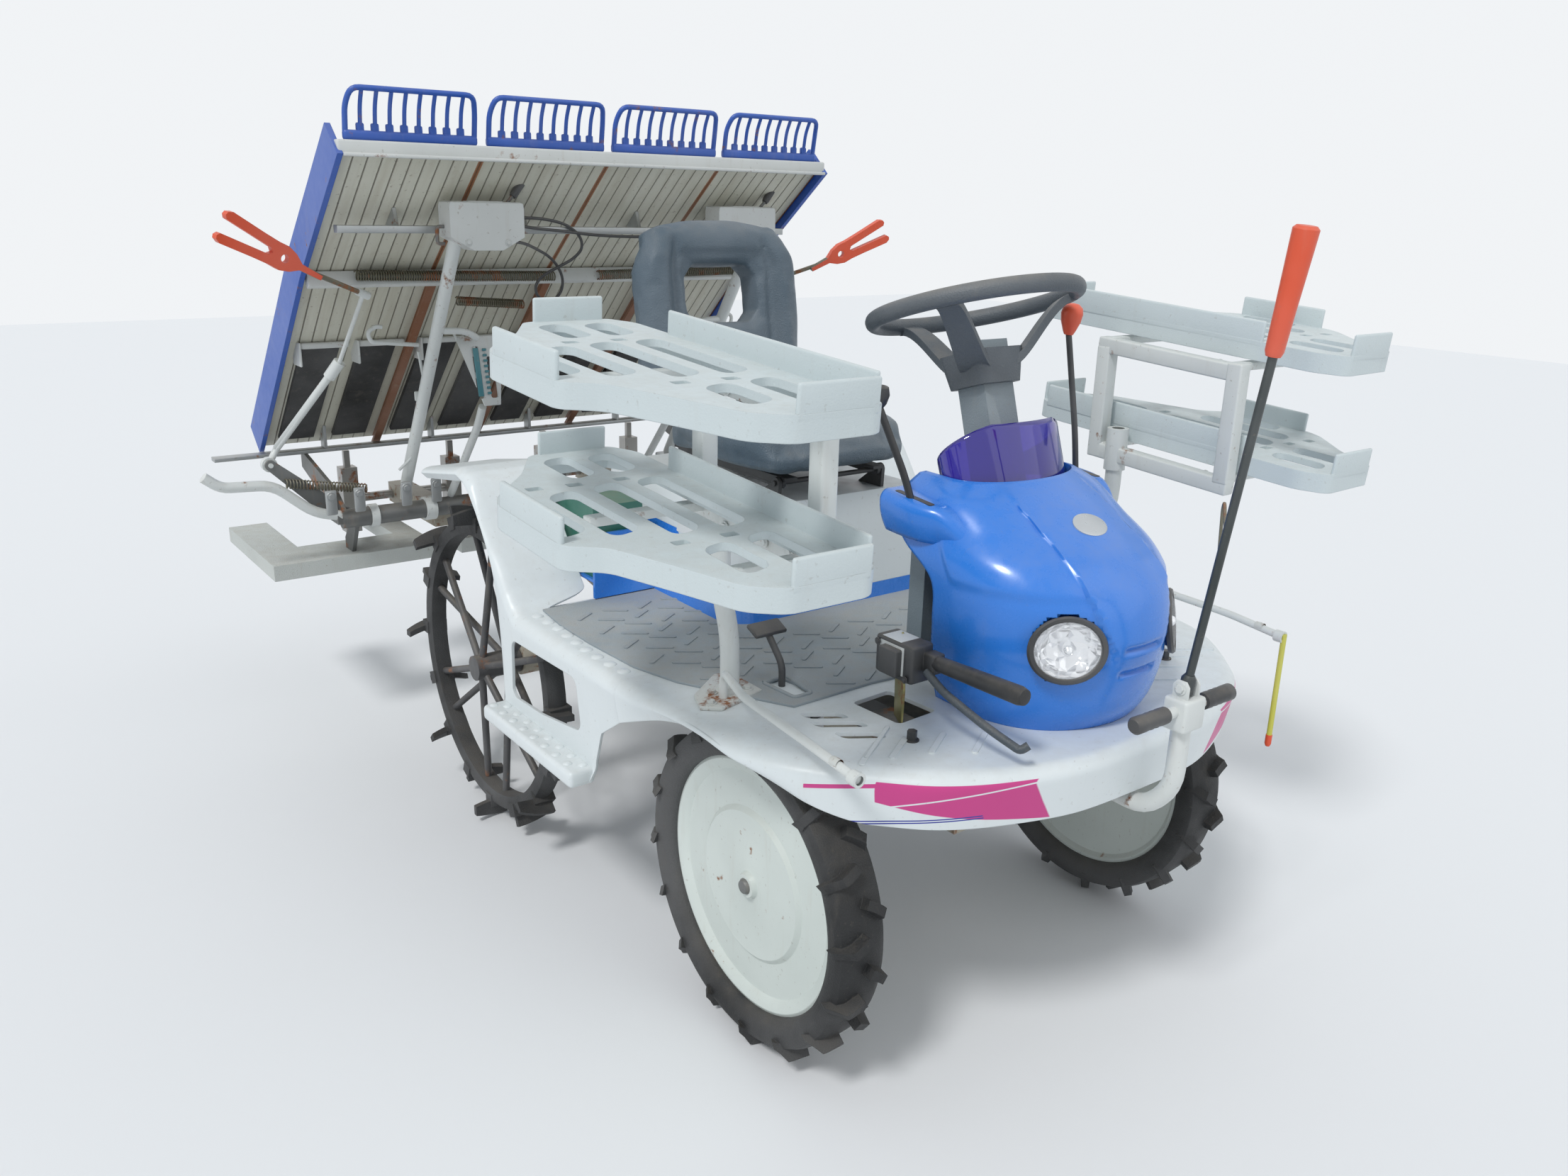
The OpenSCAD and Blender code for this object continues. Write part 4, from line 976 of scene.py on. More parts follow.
def fender(s):
    """One rear fender: floor edge, splash panel, crown and side skirt in one sheet, with the opening above the step."""
    bm = bmesh.new()
    along, down = 132, 44
    bmesh.ops.create_grid(bm, x_segments=along, y_segments=down, size=1)
    for v in bm.verts:
        place = (v.co.x + 1) / 2 * (len(FENDER_EDGE) - 1)
        i = min(int(place), len(FENDER_EDGE) - 2)
        fy, fz, by, bz = (a + (b - a) * (place - i) for a, b in zip(FENDER_EDGE[i], FENDER_EDGE[i + 1]))
        t = (v.co.y + 1) / 2 * down
        inner = 501.2 - 99 * ramp(place, 8.0, 9.4)
        fall = Vector((by - fy, bz - fz))
        drop, way = min(24.0, fall.length * 0.5), fall.normalized()
        if t <= 10:
            x, y, z = inner + (546 - inner) * t / 10, fy, fz
        elif t <= 18:
            u = (t - 10) / 8 * math.pi / 2
            x, bent = 546 + 25 * math.sin(u), drop * (1 - math.cos(u))
            y, z = fy + way.x * bent, fz + way.y * bent
        else:
            u = (t - 18) / (down - 18)
            y0, z0 = fy + way.x * drop, fz + way.y * drop
            y, z = y0 + (by - y0) * u, z0 + (bz - z0) * u
            x = 571 - 12 * u + 14 * ramp(405 - z, 0, 40)
        v.co = at(x, y, z)
    facing_outwards(bm)
    bmesh.ops.solidify(bm, geom=bm.faces[:], thickness=0.006)
    hole = [(-344, 552), (-470, 556), (-588, 560), (-598, 548), (-602, 470), (-592, 456), (-440, 432), (-326, 426),
            (-314, 436), (-330, 540)]
    own = bmesh.new()
    own.faces.new([own.verts.new(at(500, y, z)) for y, z in hole])
    bevelled(own, own.verts[:], 12, 4, "VERTICES")
    extruded(own, (0.12, 0, 0))
    bm = carved(bm, own)
    if s < 0:
        bmesh.ops.mirror(bm, geom=bm.verts[:] + bm.edges[:] + bm.faces[:], axis="X", merge_dist=0)
        half = [v for v in bm.verts if v.co.x > 0]
        bmesh.ops.delete(bm, geom=half, context="VERTS")
    return bm


def fenders_form():
    sheets = steps = nubs = inners = None
    for s in (-1, 1):
        sheets = joined(sheets, fender(s))
        steps = block(sorted((s * 556, s * 609)), (-640, -268), (370, 402), 9, 4, steps)
        inners = block(sorted((s * 396, s * 402)), (-262, 84), (640, 800), 2, 2, inners)
        for row, x in enumerate((572, 592)):
            for k in range(8):
                y = -620 + 45 * k + 20 * row
                nubs = ball((s * x, y, 401), 9, nubs, (1, 1, 0.55), 14)
        for k in range(9):
            nubs = ball((s * (533 + 5 * math.sin(k * 0.7)), -705 + 42 * k, 601.5), 11, nubs, (1.1, 1.1, 0.42), 14)
    made("fender_mouldings", sheets, "white_moulding", "chassis", "fenders", sharp=40)
    made("side_steps", steps, "white_moulding", "chassis")
    made("step_nubs", nubs, "white_moulding", "chassis")


# Spare seedling trays
TRAY_SLOTS = [(-276, 48, 132), (-262, 124, 104), (-100, 46, 244), (-100, 122, 240), (-70, 198, 196), (-46, 264, 112),
              (190, 50, 100), (186, 124, 108)]


def tray():
    """One moulded tray, floor at z 0 and front towards -Y: rounded bars between long slots, and four low walls."""
    l, w = 664, 322
    bm = bmesh.new()
    outline = [(4, -l / 2 + 22), (24, -l / 2 + 2), (152, -l / 2 + 2), (196, -l / 2 + 34), (238, -190), (272, -110),
               (w, -78), (w, 112),
               (w - 16, 146), (w - 96, 236), (w - 150, l / 2 - 6), (30, l / 2 - 2), (2, l / 2 - 50)]
    bm.faces.new([bm.verts.new((x / 1000, y / 1000, -0.034)) for x, y in outline])
    bevelled(bm, bm.verts[:], 26, 5, "VERTICES")
    extruded(bm, (0, 0, 0.034))
    hollow = bmesh.new()
    inside = []
    for (x0, y0), (x1, y1), (x2, y2) in zip(outline[-1:] + outline[:-1], outline, outline[1:] + outline[:1]):
        before, after = Vector((x1 - x0, y1 - y0)).normalized(), Vector((x2 - x1, y2 - y1)).normalized()
        inward = Vector((-before.y - after.y, before.x + after.x))
        inside.append(Vector((x1, y1)) + inward.normalized() * 8 / max(0.6, inward.length / 2))
    hollow.faces.new([hollow.verts.new((q.x / 1000, q.y / 1000, -0.05)) for q in inside])
    extruded(hollow, (0, 0, 0.038))
    bm = carved(bm, hollow)
    cutter = None
    for y, x, length in TRAY_SLOTS:
        cutter = pad((x - 3, x + 48), (y, y + length), (-60, 30), 20, 0, -0.3, cutter)
    for y, x in ((-140, 168), (-140, 92), (146, 170), (146, 92), (150, 232)):
        cutter = pad((x, x + 24), (y, y + 16), (-8, 30), 3, 0, 0, cutter)
    bm = carved(bm, centred(cutter))
    bmesh.ops.remove_doubles(bm, verts=bm.verts, dist=0.0001)
    bmesh.ops.dissolve_limit(bm, angle_limit=math.radians(0.5), verts=bm.verts, edges=bm.edges)
    softened(bm, 5, 3, 60, lambda e: all(v.co.z > -0.001 for v in e.verts))
    walls = None
    for x, y in (((2.6, 10), (-l / 2 + 30, 176)), ((24, 148), (-l / 2 + 2.6, -l / 2 + 10)),
                 ((w - 9, w - 0.8), (-72, 106)),
                 ((38, 156), (l / 2 - 10, l / 2 - 2.8))):
        walls = block(x, y, (-9, 36), 3.4, 3, walls)
    return joined(bm, centred(walls))


def trays(s, side):
    whole = None
    for level in (0, 1):
        bm = tray()
        if s > 0:
            bmesh.ops.scale(bm, vec=(1, -1, 1), verts=bm.verts)
            bmesh.ops.reverse_faces(bm, faces=bm.faces)
        turn = Matrix.Translation(at(502, -991, 962 + 205 * level)) @ Matrix.Rotation(math.radians(3.8), 4, "X")
        bmesh.ops.transform(bm, matrix=turn, verts=bm.verts)
        whole = joined(whole, bm)
    if s < 0:
        bmesh.ops.scale(whole, vec=(-1, 1, 1), verts=whole.verts)
        bmesh.ops.reverse_faces(whole, faces=whole.faces)
    made("trays_" + side, whole, "tray_white", "rack_" + side[0], "rack_trays_" + side, sharp=35)


# Wheels
def front_wheel(s, side):
    body = "wheel_f" + side[0]
    turn = (0, 90 * s, 0)
    place = (s * 430, -967, 291)
    disc = turned([(0.01, 30), (20, 29), (24, 21), (30, 19), (96, 21), (128, 22), (136, 15), (196, 13), (206, 21),
                   (216, 24), (223, 21),
                   (223, -24), (214, -26), (206, -18), (120, -14), (40, -18), (36, -26), (0.01, -26)], 96)
    made("disc_form_" + side, placed(disc, place, turn), "disc_white", body, "front_disc_" + side, sharp=30)
    cap = turned([(0.01, 36), (11, 35), (14, 30), (14, 26)], 24)
    made("hub_cap_" + side, placed(cap, place, turn), "link_steel", body)
    tyre = turned([(221, -26), (221, 26), (224, 34), (238, 42), (256, 45), (266, 41), (271, 30), (273, 0),
                   (271, -30), (266, -41), (256, -45),
                   (238, -42), (224, -34), (221, -26)], 96)
    lugs = None
    for i in range(16):
        for t in (-1, 1):
            lug = bmesh.new()
            bmesh.ops.create_cube(lug, size=1)
            bmesh.ops.subdivide_edges(lug, edges=[e for e in lug.edges if abs(e.verts[0].co.z - e.verts[1].co.z) > 0.5], cuts=5,
                                      use_grid_fill=True)
            bmesh.ops.scale(lug, vec=(0.030, 0.020, 0.054), verts=lug.verts)
            for v in lug.verts:
                u = v.co.z / 0.054 + 0.5
                if v.co.x > 0:
                    v.co.y *= 0.78
                v.co.y += 0.010 * u * u
                v.co.x -= 0.030 * ramp(u, 0.62, 1.0) * (1 if v.co.x > 0 else 0.4)
            softened(lug, 2.6, 2, 40)
            around = Matrix.Rotation(math.radians((i + t * 0.25) * 22.5), 4, "Z")
            slant = Matrix.Rotation(math.radians(t * 30), 4, "X")
            flip = Matrix.Identity(4) if t > 0 else Matrix.Rotation(math.pi, 4, "X")
            matrix = around @ Matrix.Translation((0.2758, 0, t * 0.0235)) @ slant @ flip
            bmesh.ops.transform(lug, matrix=matrix, verts=lug.verts)
            lugs = joined(lugs, lug)
    held_within(lugs, 0.2905)
    tyre = joined(tyre, lugs)
    made("tyre_form_" + side, placed(tyre, place, turn), "tyre_rubber", body, "front_tyre_" + side, sharp=40)


def rear_wheel(s, side):
    """The rear wheel's rubber ring and its paddles: each a pointed blade with a rib along its back."""
    body = "wheel_r" + side[0]
    ring = 310
    tyre = turned([(ring - 13, -18), (ring + 4, -22), (ring + 16, -20), (ring + 22, -8), (ring + 22, 8),
                   (ring + 16, 20), (ring + 4, 22),
                   (ring - 13, 18), (ring - 16, 0), (ring - 13, -18)], 96)
    paddles = None
    for i in range(16):
        way = 1 if i % 2 == 0 else -1
        blade = bmesh.new()
        bmesh.ops.create_grid(blade, x_segments=10, y_segments=6, size=1)
        for v in blade.verts:
            u, w = (v.co.x + 1) / 2, v.co.y
            high = 38 * (1 - 0.42 * u ** 2)
            v.co = Vector(((ring + 17 + (w + 1) / 2 * high) / 1000, (-4 + 14 * u * u) / 1000,
                           way * (-17 + 80 * u) / 1000))
        extruded(blade, (0, 0.013, 0))
        bmesh.ops.recalc_face_normals(blade, faces=blade.faces)
        softened(blade, 3.5, 3, 50)
        spun(blade, 22.5 * i)
        paddles = joined(paddles, blade)
        lump = bmesh.new()
        bmesh.ops.create_cube(lump, size=1)
        bmesh.ops.scale(lump, vec=(0.030, 0.030, 0.048), verts=lump.verts)
        softened(lump, 7, 3)
        bmesh.ops.translate(lump, vec=((ring + 16) / 1000, 0.002, 0), verts=lump.verts)
        spun(lump, 22.5 * i)
        paddles = joined(paddles, lump)
    held_within(paddles, 0.3675)
    tyre = joined(tyre, paddles)
    made("paddle_ring_" + side, placed(tyre, (s * 473, 0, 368), (0, 90 * s, 0)), "tyre_rubber", body,
         "rear_tread_" + side, sharp=40)


deck_form()
mat_form()
fenders_form()
for s, side in ((1, "left"), (-1, "right")):
    trays(s, side)
    front_wheel(s, side)
    rear_wheel(s, side)


# Tubes, posts and racks
def repainted(piece, material, where):
    """Gives a piece's faces of one place a second material."""
    piece.data.materials.append(material.material)
    for polygon in piece.data.polygons:
        if where(polygon.center):
            polygon.material_index = len(piece.data.materials) - 1


def rack_parts(s, side):
    body = "rack_" + side[0]
    post = tube([(s * 436, -882, 604), (s * 436, -882, 700), (s * 472, -905, 800), (s * 472, -905, 956)], 16,
                sides=20, bend=46)
    made("rack_post_" + side, post, "white_paint", "chassis", *(("rack_posts",) if s > 0 else ()))
    foot = plate([(s * x, y) for x, y in ((392, -822), (420, -812), (496, -868), (516, -916), (488, -938),
                                          (392, -912))], 7, (0, 0, 602), round_by=1.5)
    foot = joined(foot, placed(turned([(16, 0), (22, 0), (18, 8), (16, 8)], 28), (s * 436, -882, 608)))
    foot = bolts([(s * 408, -838, 609), (s * 494, -914, 609), (s * 412, -898, 609), (s * 470, -880, 609)], (0, 0, 1),
                 7, 6, foot)
    made("rack_foot_" + side, foot, "white_paint", "chassis", material=RUSTED)
    frame_bm = None
    for y in (-1150, -860):
        frame_bm = block((s * 472 - 15, s * 472 + 15), (y - 15, y + 15), (900, 1118), 3.5, 3, frame_bm)
    for level in (0, 1):
        z = 905 + 205 * level
        frame_bm = block((s * 472 - 14, s * 472 + 14), (-1165, -845), (z - 15, z + 15), 3.5, 3, frame_bm,
                         turn=("X", 3.8))
        for y in (-1140, -868):
            frame_bm = block(sorted((s * 462, s * 682)), (y - 12, y + 12),
                             (z + 3 + (y + 991) * 0.066, z + 17.5 + (y + 991) * 0.066), 2, 2, frame_bm)
    frame_bm = joined(frame_bm, placed(turned([(16.2, 0), (21, 0), (21, 82), (12.2, 82)], 28),
                                       (s * 472, -905, 880.5)))
    frame_bm = bolts([(s * 488, y, z) for z in (905, 1110) for y in (-1100, -1040, -940)], (s, 0, 0), 6, 4, frame_bm)
    made("rack_bars_" + side, frame_bm, "white_paint", body, "rack_frame_" + side)
    marker = tube([(s * 464, -905, 598), (s * 464, -905, 654), (s * 500, -1010, 656), (s * 508, -1180, 648),
                   (s * 508, -1290, 636)], 7, bend=22)
    marker = joined(marker, placed(turned([(7, -8), (11, -8), (11, 8), (7, 8)], 20), (s * 508, -1286, 636),
                                   (90, 0, 0)))
    made("side_tube_" + side, marker, "white_paint", "marker_" + side[0], "side_marker_" + side)
    made("side_tube_rust_" + side, placed(turned([(7.2, 0), (7.6, 6), (7.2, 16)], 20), (s * 508, -1236, 643),
                                          (90, 0, 0)), "white_paint",
         "marker_" + side[0], material=RUSTED)
    if s > 0:
        drop = tube([(508, -1294, 642), (508, -1296, 440)], 5)
        made("hanging_tube", drop, "white_paint", "marker_l", material=YELLOW)
        made("hanging_tip", placed(turned([(0.01, 0), (4, 1), (6, 6), (6, 24), (0.01, 24)], 18), (508, -1296, 419)),
             "white_paint",
             "marker_l", material=ORANGE)


for s, side in ((1, "left"), (-1, "right")):
    rack_parts(s, side)


# Nose tube, handle and pole
def nose_parts():
    bm = tube([(0, -1244, 492), (0, -1392, 488), (0, -1437, 540), (0, -1437, 652)], 15, sides=22, bend=44)
    bm = block((-60, 60), (-1248, -1240), (480, 530), 2, 2, bm)
    bm = block((-25, 25), (-1458, -1416), (640, 691), 5, 3, bm)
    for s in (-1, 1):
        ear = plate([(-14, 0), (14, 0), (14, 24), (8, 32), (-8, 32), (-14, 24)], 4, (0, 0, 0), round_by=1)
        bm = joined(bm, placed(centred(ear), (s * 13 - 2, -1437, 686), (90, 0, 90)))
    bm = bolts([(15, -1437, 706)], (1, 0, 0), 7, 5, bm)
    bm = bolts([(-15, -1437, 706)], (-1, 0, 0), 7, 5, bm)
    bm = joined(bm, placed(turned([(9, -118), (9, 118)], 20), (0, -1437, 671), (0, 90, 0)))
    made("nose_tube", bm, "white_paint", "chassis", "front_bumper")
    grips = None
    for s in (-1, 1):
        grip = turned([(9, 44), (13, 46), (13.4, 60), (12.6, 66), (13.4, 72), (12.6, 78), (13.4, 84), (12.6, 90),
                       (13.4, 98), (13.4, 114), (10, 118.5),
                       (0.01, 119)], 26)
        grips = joined(grips, placed(grip, (0, -1437, 671), (0, 90 * s, 0)))
    made("handle_grips", grips, "black_plastic", "chassis")
    pole = turned([(0.01, -2), (6.4, -2), (6.4, 500), (0.01, 500)], 20)
    pole = joined(pole, turned([(9, -11), (11, -11), (11, 14), (7, 20)], 24))
    pole = placed(pole, (0, -1437, 706), (7, 0, 0))
    pole = joined(pole, placed(turned([(0.01, -19), (4, -19), (4, 19), (0.01, 19)], 14), (0, -1437, 706), (0, 90, 0)))
    made("pole_rod", pole, "pole_finish", "pole")
    top = turned([(0.01, 492), (10, 493), (12.5, 500), (14, 560), (16.6, 640), (17, 656), (13, 660), (0.01, 660)], 28)
    made("pole_top", placed(top, (0, -1437, 706), (7, 0, 0)), "pole_finish", "pole", "mascot_pole", material=ORANGE)
    hook = tube([(4, -1463, 930), (14, -1452, 880), (30, -1436, 972), (20, -1444, 986), (6, -1463, 930)], 2.4, bend=9)
    made("pole_hook", hook, "pole_finish", "pole", material=SPRING)


nose_parts()


# Levers and the walking control
def controls():
    plate_bm = plate([(-20, 0), (24, 0), (30, 60), (16, 128), (4, 150), (-8, 128), (-24, 60)], 4, (-258, -1096, 588),
                     (90, 0, 62), round_by=1.2)
    made("lever_plate", plate_bm, "black_plastic", "chassis", material=BRASS_PLATE)
    box = block((-286, -240), (-1150, -1066), (672, 734), 5, 3)
    box = block((-300, -284), (-1128, -1088), (680, 724), 3, 3, box)
    box = block((-262, -236), (-1172, -1146), (690, 722), 4, 3, box)
    box = bolts([(-289, -1075, 724), (-289, -1140, 680)], (-1, 0, 0), 4, 3, box)
    made("lever_box", box, "black_plastic", "chassis", "hand_controls")
    labels = block((-287, -286.2), (-1132, -1078), (682, 728), 0)
    labels = block((-284, -246), (-1122, -1080), (734, 734.7), 0, bm=labels)
    made("lever_box_labels", labels, "black_plastic", "chassis", material=LABEL)
    grip = turned([(0.01, 0), (10, 2), (12, 8), (13, 60), (14, 120), (14.5, 176), (12, 186), (0.01, 188)], 26)
    grip = placed(grip, (-250, -1160, 708), (88, 0, 0))
    made("walking_grip", grip, "black_plastic", "chassis")
    lever = tube([(-262, -1158, 694), (-266, -1200, 676), (-262, -1290, 650), (-250, -1346, 632),
                  (-240, -1352, 640)], 6.5, bend=26)
    made("walking_lever", lever, "wheel_grey", "chassis")
    rods = tube([(-197, -1054, 880), (-206, -1030, 960), (-226, -976, 1076)], 6, bend=30)
    rods = tube([(197, -1040, 880), (198, -1022, 1000), (200, -984, 1172)], 5.4, rods, bend=30)
    made("lever_rods", rods, "black_plastic", "chassis")
    knob = placed(turned([(0.01, 0), (8, 0), (11, 6), (17, 22), (19, 36), (17, 46), (10, 52), (0.01, 54)], 30),
                  (200, -985, 1164), (6, 0, 0))
    made("orange_knob", knob, "black_plastic", "chassis", material=ORANGE)
    cap = placed(turned([(0.01, 0), (7, 0), (11, 8), (13, 22), (9, 34), (0.01, 37)], 26), (-225, -978, 1070),
                 (14, 0, 0))
    made("black_knob", cap, "black_plastic", "chassis")


controls()


# Seedling table
def bar_between(low, high, thick, deep, bm=None, round_by=2.0):
    """A flat bar along Y and Z, between two points at the same x, thick across the machine and deep square to its run."""
    a, b = Vector(low), Vector(high)
    own = bmesh.new()
    bmesh.ops.create_cube(own, size=1)
    bmesh.ops.scale(own, vec=(thick / 1000, (b - a).length / 1000, deep / 1000), verts=own.verts)
    softened(own, round_by, 2)
    turn = Vector((0, 1, 0)).rotation_difference((b - a).normalized()).to_matrix()
    bmesh.ops.rotate(own, cent=(0, 0, 0), matrix=turn, verts=own.verts)
    bmesh.ops.translate(own, vec=at(*((a + b) / 2)), verts=own.verts)
    return joined(bm, own)


def table_parts():
    left, right = -667, 533
    for node, width in (("table_sides", 5), ("seedling_table", 1.2), ("table_runners", 1.5)):
        dressed(node, width, 3)
    combs = None
    for k in range(4):
        x0, x1 = left + 300 * k + 11, left + 300 * k + 289
        combs = block((x0, x1), (146, 164), (1464, 1484), 6, 3, combs)
        combs = tube([(x0 + 5, 155, 1478), (x0 + 5, 146, 1530), (x0 + 14, 128, 1561), (x1 - 14, 128, 1561),
                      (x1 - 5, 146, 1530), (x1 - 5, 155, 1478)],
                     5.6, combs, sides=12, bend=24)
        for i in range(1, 9):
            x = x0 + 5 + (x1 - x0 - 10) * i / 9
            combs = tube([(x, 155, 1478), (x, 146, 1530), (x, 129, 1560)], 4.2, combs, sides=10, bend=20)
            combs = block((x - 8, x + 8), (150, 160), (1480, 1498), 3.5, 2, combs)
    made("comb_racks", combs, "table_blue", "table", "seedling_combs")
    rails = block((left - 8, right + 8), (132, 160), (1434, 1465), 4, 3)
    rails = block((left, right), (118, 134), (1434, 1441), 2, 2, rails)
    rails = bar_between((left + 600, 455, 1180), (left + 600, 474, 1172), 1190, 34, rails)
    made("table_rails", rails, "zinc_steel", "table", material=PALE_RAIL)
    strips = None
    for k in range(1, 4):
        x = left + 300 * k
        strips = bar_between((x, 470, 1172), (x, 985, 690), 20, 8, strips)
    made("row_strips", strips, "table_blue", "table",
         material=weathered("red brown strip", (0.25, 0.10, 0.045), 0.5, dust=0.3, spots=0.5))
    stops = None
    for k in range(4):
        for x in (left + 300 * k + 30, left + 300 * k + 170):
            stops = block((x, x + 116), (648, 668), (1001, 1016), 5, 3, stops)
            stops = block((x - 7, x - 1), (640, 700), (960, 1018), 4, 2, stops)
    made("belt_ends", stops, "white_paint", "table", material=PALE_RAIL)
    dressed("feed_belts", 2, 2)


def coil(start, end, radius, wire, turns, bm=None):
    """A coil spring between two points."""
    a, b = Vector(start), Vector(end)
    way = (b - a).normalized()
    side_way = way.orthogonal().normalized()
    other = way.cross(side_way)
    steps = int(turns * 10)
    points = [a.lerp(b, i / steps) + (side_way * math.cos(i * math.tau / 10) + other * math.sin(i * math.tau / 10)) * radius
              for i in range(steps + 1)]
    return joined(bm, swept(points, wire, 6))


def post_parts():
    """What stands on the unit in front of the table: posts, lever boxes, gauges, hook, springs and pipes."""
    bm = None
    for s in (-1, 1):
        bm = tube([(s * 400, 668, 600), (s * 400, 664, 640), (s * 400, 224, 1300)], 15, bm, sides=20)
        bm = tube([(s * 392, 380, 1062), (s * 330, 384, 1058), (s * 296, 400, 1040)], 8, bm)
        bm = tube([(s * 287, 408, 872), (s * 286, 450, 812), (s * 290, 640, 604)], 10, bm, bend=30)
        bm = block(sorted((s * 384, s * 416)), (512, 518), (880, 904), 4, 2, bm)
    made("unit_tubes", bm, "white_paint", "unit", "unit_posts")
    boxes = plates = grips = labels = None
    for s in (-1, 1):
        own = centred(plate([(-84, 50), (84, 50), (86, 40), (86, -22), (34, -50), (-34, -50), (-86, -22), (-86, 40)],
                            62,
                            (0, 0, 0)))
        softened(own, 6, 4, 30)
        boxes = joined(boxes, placed(own, (s * 346, 252, 1301), (90, 0, 0)))
        boxes = block((s * 346 - 82, s * 346 + 82), (192, 258), (1346, 1353), 2.5, 2, boxes)
        labels = block((s * 346 - 40, s * 346 + 40), (196, 224), (1353, 1354), 0, bm=labels)
        boxes = bolts([(s * 346 - 46, 190, 1268), (s * 346 + 46, 190, 1268)], (0, -1, 0), 5, 3, boxes)
        plates = tube([(s * 346 + 60, 230, 1346), (s * 346 + 75, 222, 1366)], 4, plates)
        grip = placed(turned([(0.01, 0), (7, 1), (9, 8), (9.5, 50), (7, 60), (0.01, 61)], 20),
                      (s * 346 + 74, 222, 1364), (0, 40, 8), (1, 1, 0.8))
        grips = joined(grips, grip)
        plates = tube([(s * 346 - 86, 226, 1300), (s * 346 - 102, 226, 1300), (s * 346 - 102, 226, 1264),
                       (s * 346 - 86, 226, 1264)], 4, plates, bend=8)
    made("lever_boxes", boxes, "white_paint", "unit", material=PALE_RAIL)
    made("box_labels", labels, "white_paint", "unit", material=LABEL)
    made("box_levers", plates, "link_steel", "unit")
    made("box_grips", grips, "black_plastic", "unit")
    gauges = scales = None
    for s in (-1, 1):
        own = plate([(-60, 84), (60, 84), (34, -84), (-8, -84)], 5, (0, 0, 0), round_by=1.2)
        cutter = None
        for low, high, left_x, right_x in ((-66, 34, 12, 30), (-66, 60, -22, -6)):
            cutter = pad((left_x, right_x), (low, high), (-20, 20), 5, 0, 0, cutter)
        own = centred(carved(own, cutter))
        gauges = joined(gauges, placed(own, (s * 282, 408, 958), (78, 0, 0)))
        bar = block((-22, -8), (-60, 56), (5, 6.5), 1)
        for k in range(9):
            bar = block((2, 12), (-56 + 13 * k, -50 + 13 * k), (4, 8), 1, 2, bar)
        scales = joined(scales, placed(centred(bar), (s * 282, 405, 958), (78, 0, 0)))
    made("depth_gauges", gauges, "white_paint", "unit", material=PALE_RAIL)
    made("gauge_scales", scales, "link_steel", "unit",
         material=weathered("green scale", (0.04, 0.22, 0.26), 0.4, dust=0.2, spots=0.3))
    hooks = None
    for s in (-1, 1):
        route = ((400, 1016), (515, 1028), (522, 1052), (500, 1064), (486, 1062))
        hooks = tube([(s * x, 508, z) for x, z in route], 5, hooks, bend=14)
    made("hose_hooks", hooks, "white_paint", "unit")
    springs = coil((-560, 440, 1186), (-60, 452, 1176), 11, 1.8, 84)
    springs = coil((560, 440, 1186), (60, 452, 1176), 11, 1.8, 84, springs)
    springs = coil((-300, 500, 1118), (-120, 510, 1104), 10, 1.8, 34, springs)
    made("coil_springs", springs, "link_steel", "unit", material=SPRING)
    thin = tube([(-400, 512, 1000), (-388, 520, 930), (-380, 530, 860), (-400, 590, 730), (-430, 620, 690)], 3.6,
                bend=30)
    thin = tube([(-350, 420, 1060), (-300, 430, 960), (-250, 470, 900)], 3, thin, bend=30)
    made("thin_pipes", thin, "white_paint", "unit")


def line_markers():
    for side in ("left", "right"):
        piece = dressed("line_marker_" + side, 2.5, 2, over=36)
        repainted(piece, ORANGE, lambda c: mm(c)[2] > 1206)
        repainted(piece, SPRING, lambda c: 1160 < mm(c)[2] <= 1206 and abs(mm(c)[0]) > 566)


table_parts()
post_parts()
line_markers()


# Planting unit
def unit_parts():
    for node, width in (("floats", 14), ("planting_cases", 7), ("slide_rails", 1.5)):
        dressed(node, width, 4)
    pipes = None
    for s in (-1, 1):
        pipes = tube([(s * 560, 640, 580), (s * 642, 648, 598), (s * 735, 650, 680), (s * 852, 650, 686),
                      (s * 888, 650, 716)], 13, pipes, bend=34)
        pipes = joined(pipes, placed(turned([(25, -14), (31, -14), (31, 14), (25, 14)], 28), (s * 352, 640, 575),
                                     (0, 90, 0)))
        pipes = joined(pipes, placed(turned([(25, -10), (30, -10), (30, 10), (25, 10)], 28), (s * 500, 640, 575),
                                     (0, 90, 0)))
    made("guard_pipes", pipes, "white_paint", "unit")
    links = None
    for s in (-1, 1):
        links = coil((s * 700, 668, 676), (s * 500, 668, 640), 11, 2, 26, links)
    made("marker_springs", links, "link_steel", "unit", material=SPRING)
    brackets = None
    for s in (-1, 1):
        for x in (340, 420, 540, 610):
            brackets = block((s * x - 14, s * x + 14), (606, 614), (596, 660), 4, 2, brackets)
        brackets = bolts([(s * x, 606, 644) for x in (340, 420, 540, 610)], (0, -1, 0), 8, 6, brackets)
    made("unit_brackets", brackets, "zinc_steel", "unit")


unit_parts()


# Labels and the badge place
def surface_point(piece, start, way):
    """Where a line from start meets a piece's surface, and which way that surface faces there."""
    tree = BVHTree.FromObject(bpy.data.objects[piece], bpy.context.evaluated_depsgraph_get())
    place, facing = tree.ray_cast(at(*start), Vector(way).normalized())[:2]
    return place, facing if facing.dot(Vector(way)) < 0 else -facing


def stuck(bm, piece, start, way):
    """Turns a flat label that lies on the z plane so that it sits on a piece's surface."""
    place, facing = surface_point(piece, start, way)
    matrix = Matrix.Translation(place) @ facing.to_track_quat("Z", "Y").to_matrix().to_4x4()
    bmesh.ops.transform(centred(bm), matrix=matrix, verts=bm.verts)
    return bm


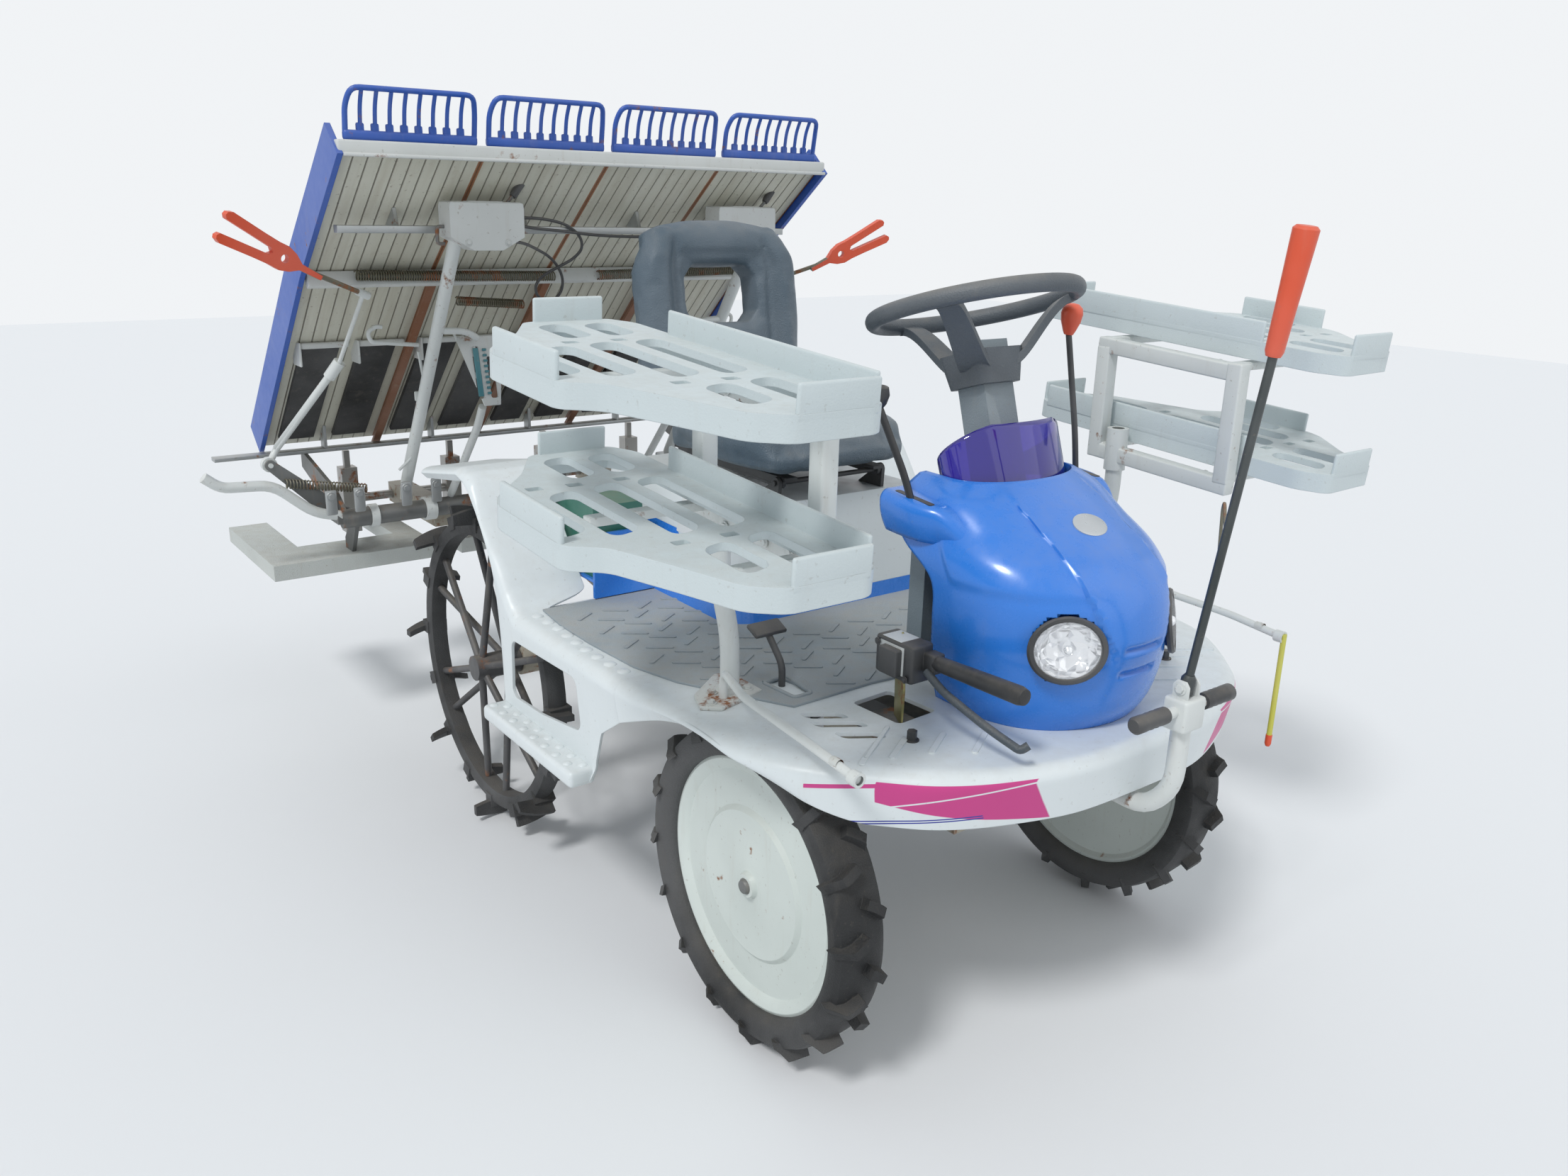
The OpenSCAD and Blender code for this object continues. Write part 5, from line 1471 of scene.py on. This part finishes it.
def labels():
    """Bare plates where such a machine has labels, and a plain badge place on the bonnet."""
    for node, width in (("under_cover", 14), ("seat_base", 16)):
        dressed(node, width, 5)
    bpy.context.view_layer.update()
    badge = turned([(0.01, 2.0), (30, 1.6), (34, 0.4), (34, -6), (0.01, -6)], 48)
    bmesh.ops.scale(badge, vec=(1, 0.72, 1), verts=badge.verts)
    bmesh.ops.translate(badge, vec=at(0, 0, 0), verts=badge.verts)
    made("badge_place", stuck(badge, "bonnet_skin", (0, -1500, 906), (0, 1, 0)), "blue_moulding", "chassis",
         material=SILVER_LABEL)
    wide = stuck(pad((-26, 26), (-18, 18), (-2, 0.7), 3), "under_cover_form", (-700, -470, 668), (1, 0, 0))
    made("cover_label", wide, "blue_moulding", "chassis", material=SILVER_LABEL)
    base = stuck(pad((-28, 28), (-36, 36), (-2, 0.7), 3), "seat_base_form", (-700, -420, 770), (1, 0, 0))
    made("base_label", base, "white_moulding", "chassis", material=LABEL)


labels()


# Under the deck
def chassis_parts():
    for node, width in (("frame_rails", 3), ("engine_block", 6), ("drive_case", 8), ("rear_axle_case", 6),
                        ("knuckle_left", 3),
                        ("knuckle_right", 3), ("column_cover", 8), ("battery_box", 6), ("seat_mount", 2),
                        ("seat_frame", 2),
                        ("lower_links", 2), ("upper_link", 2)):
        dressed(node, width, 3)


chassis_parts()


# Floor, backdrop light and lamps
def set_stage():
    bm = bmesh.new()
    bmesh.ops.create_grid(bm, x_segments=1, y_segments=1, size=12)
    mesh = bpy.data.meshes.new("floor")
    bm.to_mesh(mesh)
    bm.free()
    floor = bpy.data.objects.new("floor", mesh)
    scene.collection.objects.link(floor)
    floor.data.materials.append(Finish("floor", (0.80, 0.81, 0.82), 0.85).material)
    world = bpy.data.worlds.new("sky")
    scene.world = world
    world.use_nodes = True
    tree = world.node_tree
    tree.nodes.clear()
    output = tree.nodes.new("ShaderNodeOutputWorld")
    light, backdrop, mix = (tree.nodes.new("ShaderNode" + kind) for kind in ("Background", "Background", "MixShader"))
    light.inputs[0].default_value = (0.90, 0.95, 1.0, 1)
    light.inputs[1].default_value = 0.62
    backdrop.inputs[0].default_value = (0.88, 0.90, 0.92, 1)
    path = tree.nodes.new("ShaderNodeLightPath")
    seen = path.outputs["Is Camera Ray"]
    for ray in ("Is Glossy Ray", "Is Transmission Ray"):
        either = tree.nodes.new("ShaderNodeMath")
        either.operation = "MAXIMUM"
        tree.links.new(seen, either.inputs[0])
        tree.links.new(path.outputs[ray], either.inputs[1])
        seen = either.outputs[0]
    tree.links.new(seen, mix.inputs[0])
    tree.links.new(light.outputs[0], mix.inputs[1])
    tree.links.new(backdrop.outputs[0], mix.inputs[2])
    tree.links.new(mix.outputs[0], output.inputs["Surface"])
    for name, angle, power, spread in (("key", (38, 0, -70), 1.5, 12), ("fill", (55, 0, 30), 0.35, 60)):
        data = bpy.data.lights.new(name, "SUN")
        data.energy = power
        data.angle = math.radians(spread)
        lamp = bpy.data.objects.new(name, data)
        lamp.rotation_euler = [math.radians(a) for a in angle]
        scene.collection.objects.link(lamp)
    scene.view_settings.view_transform = "Standard"


set_stage()
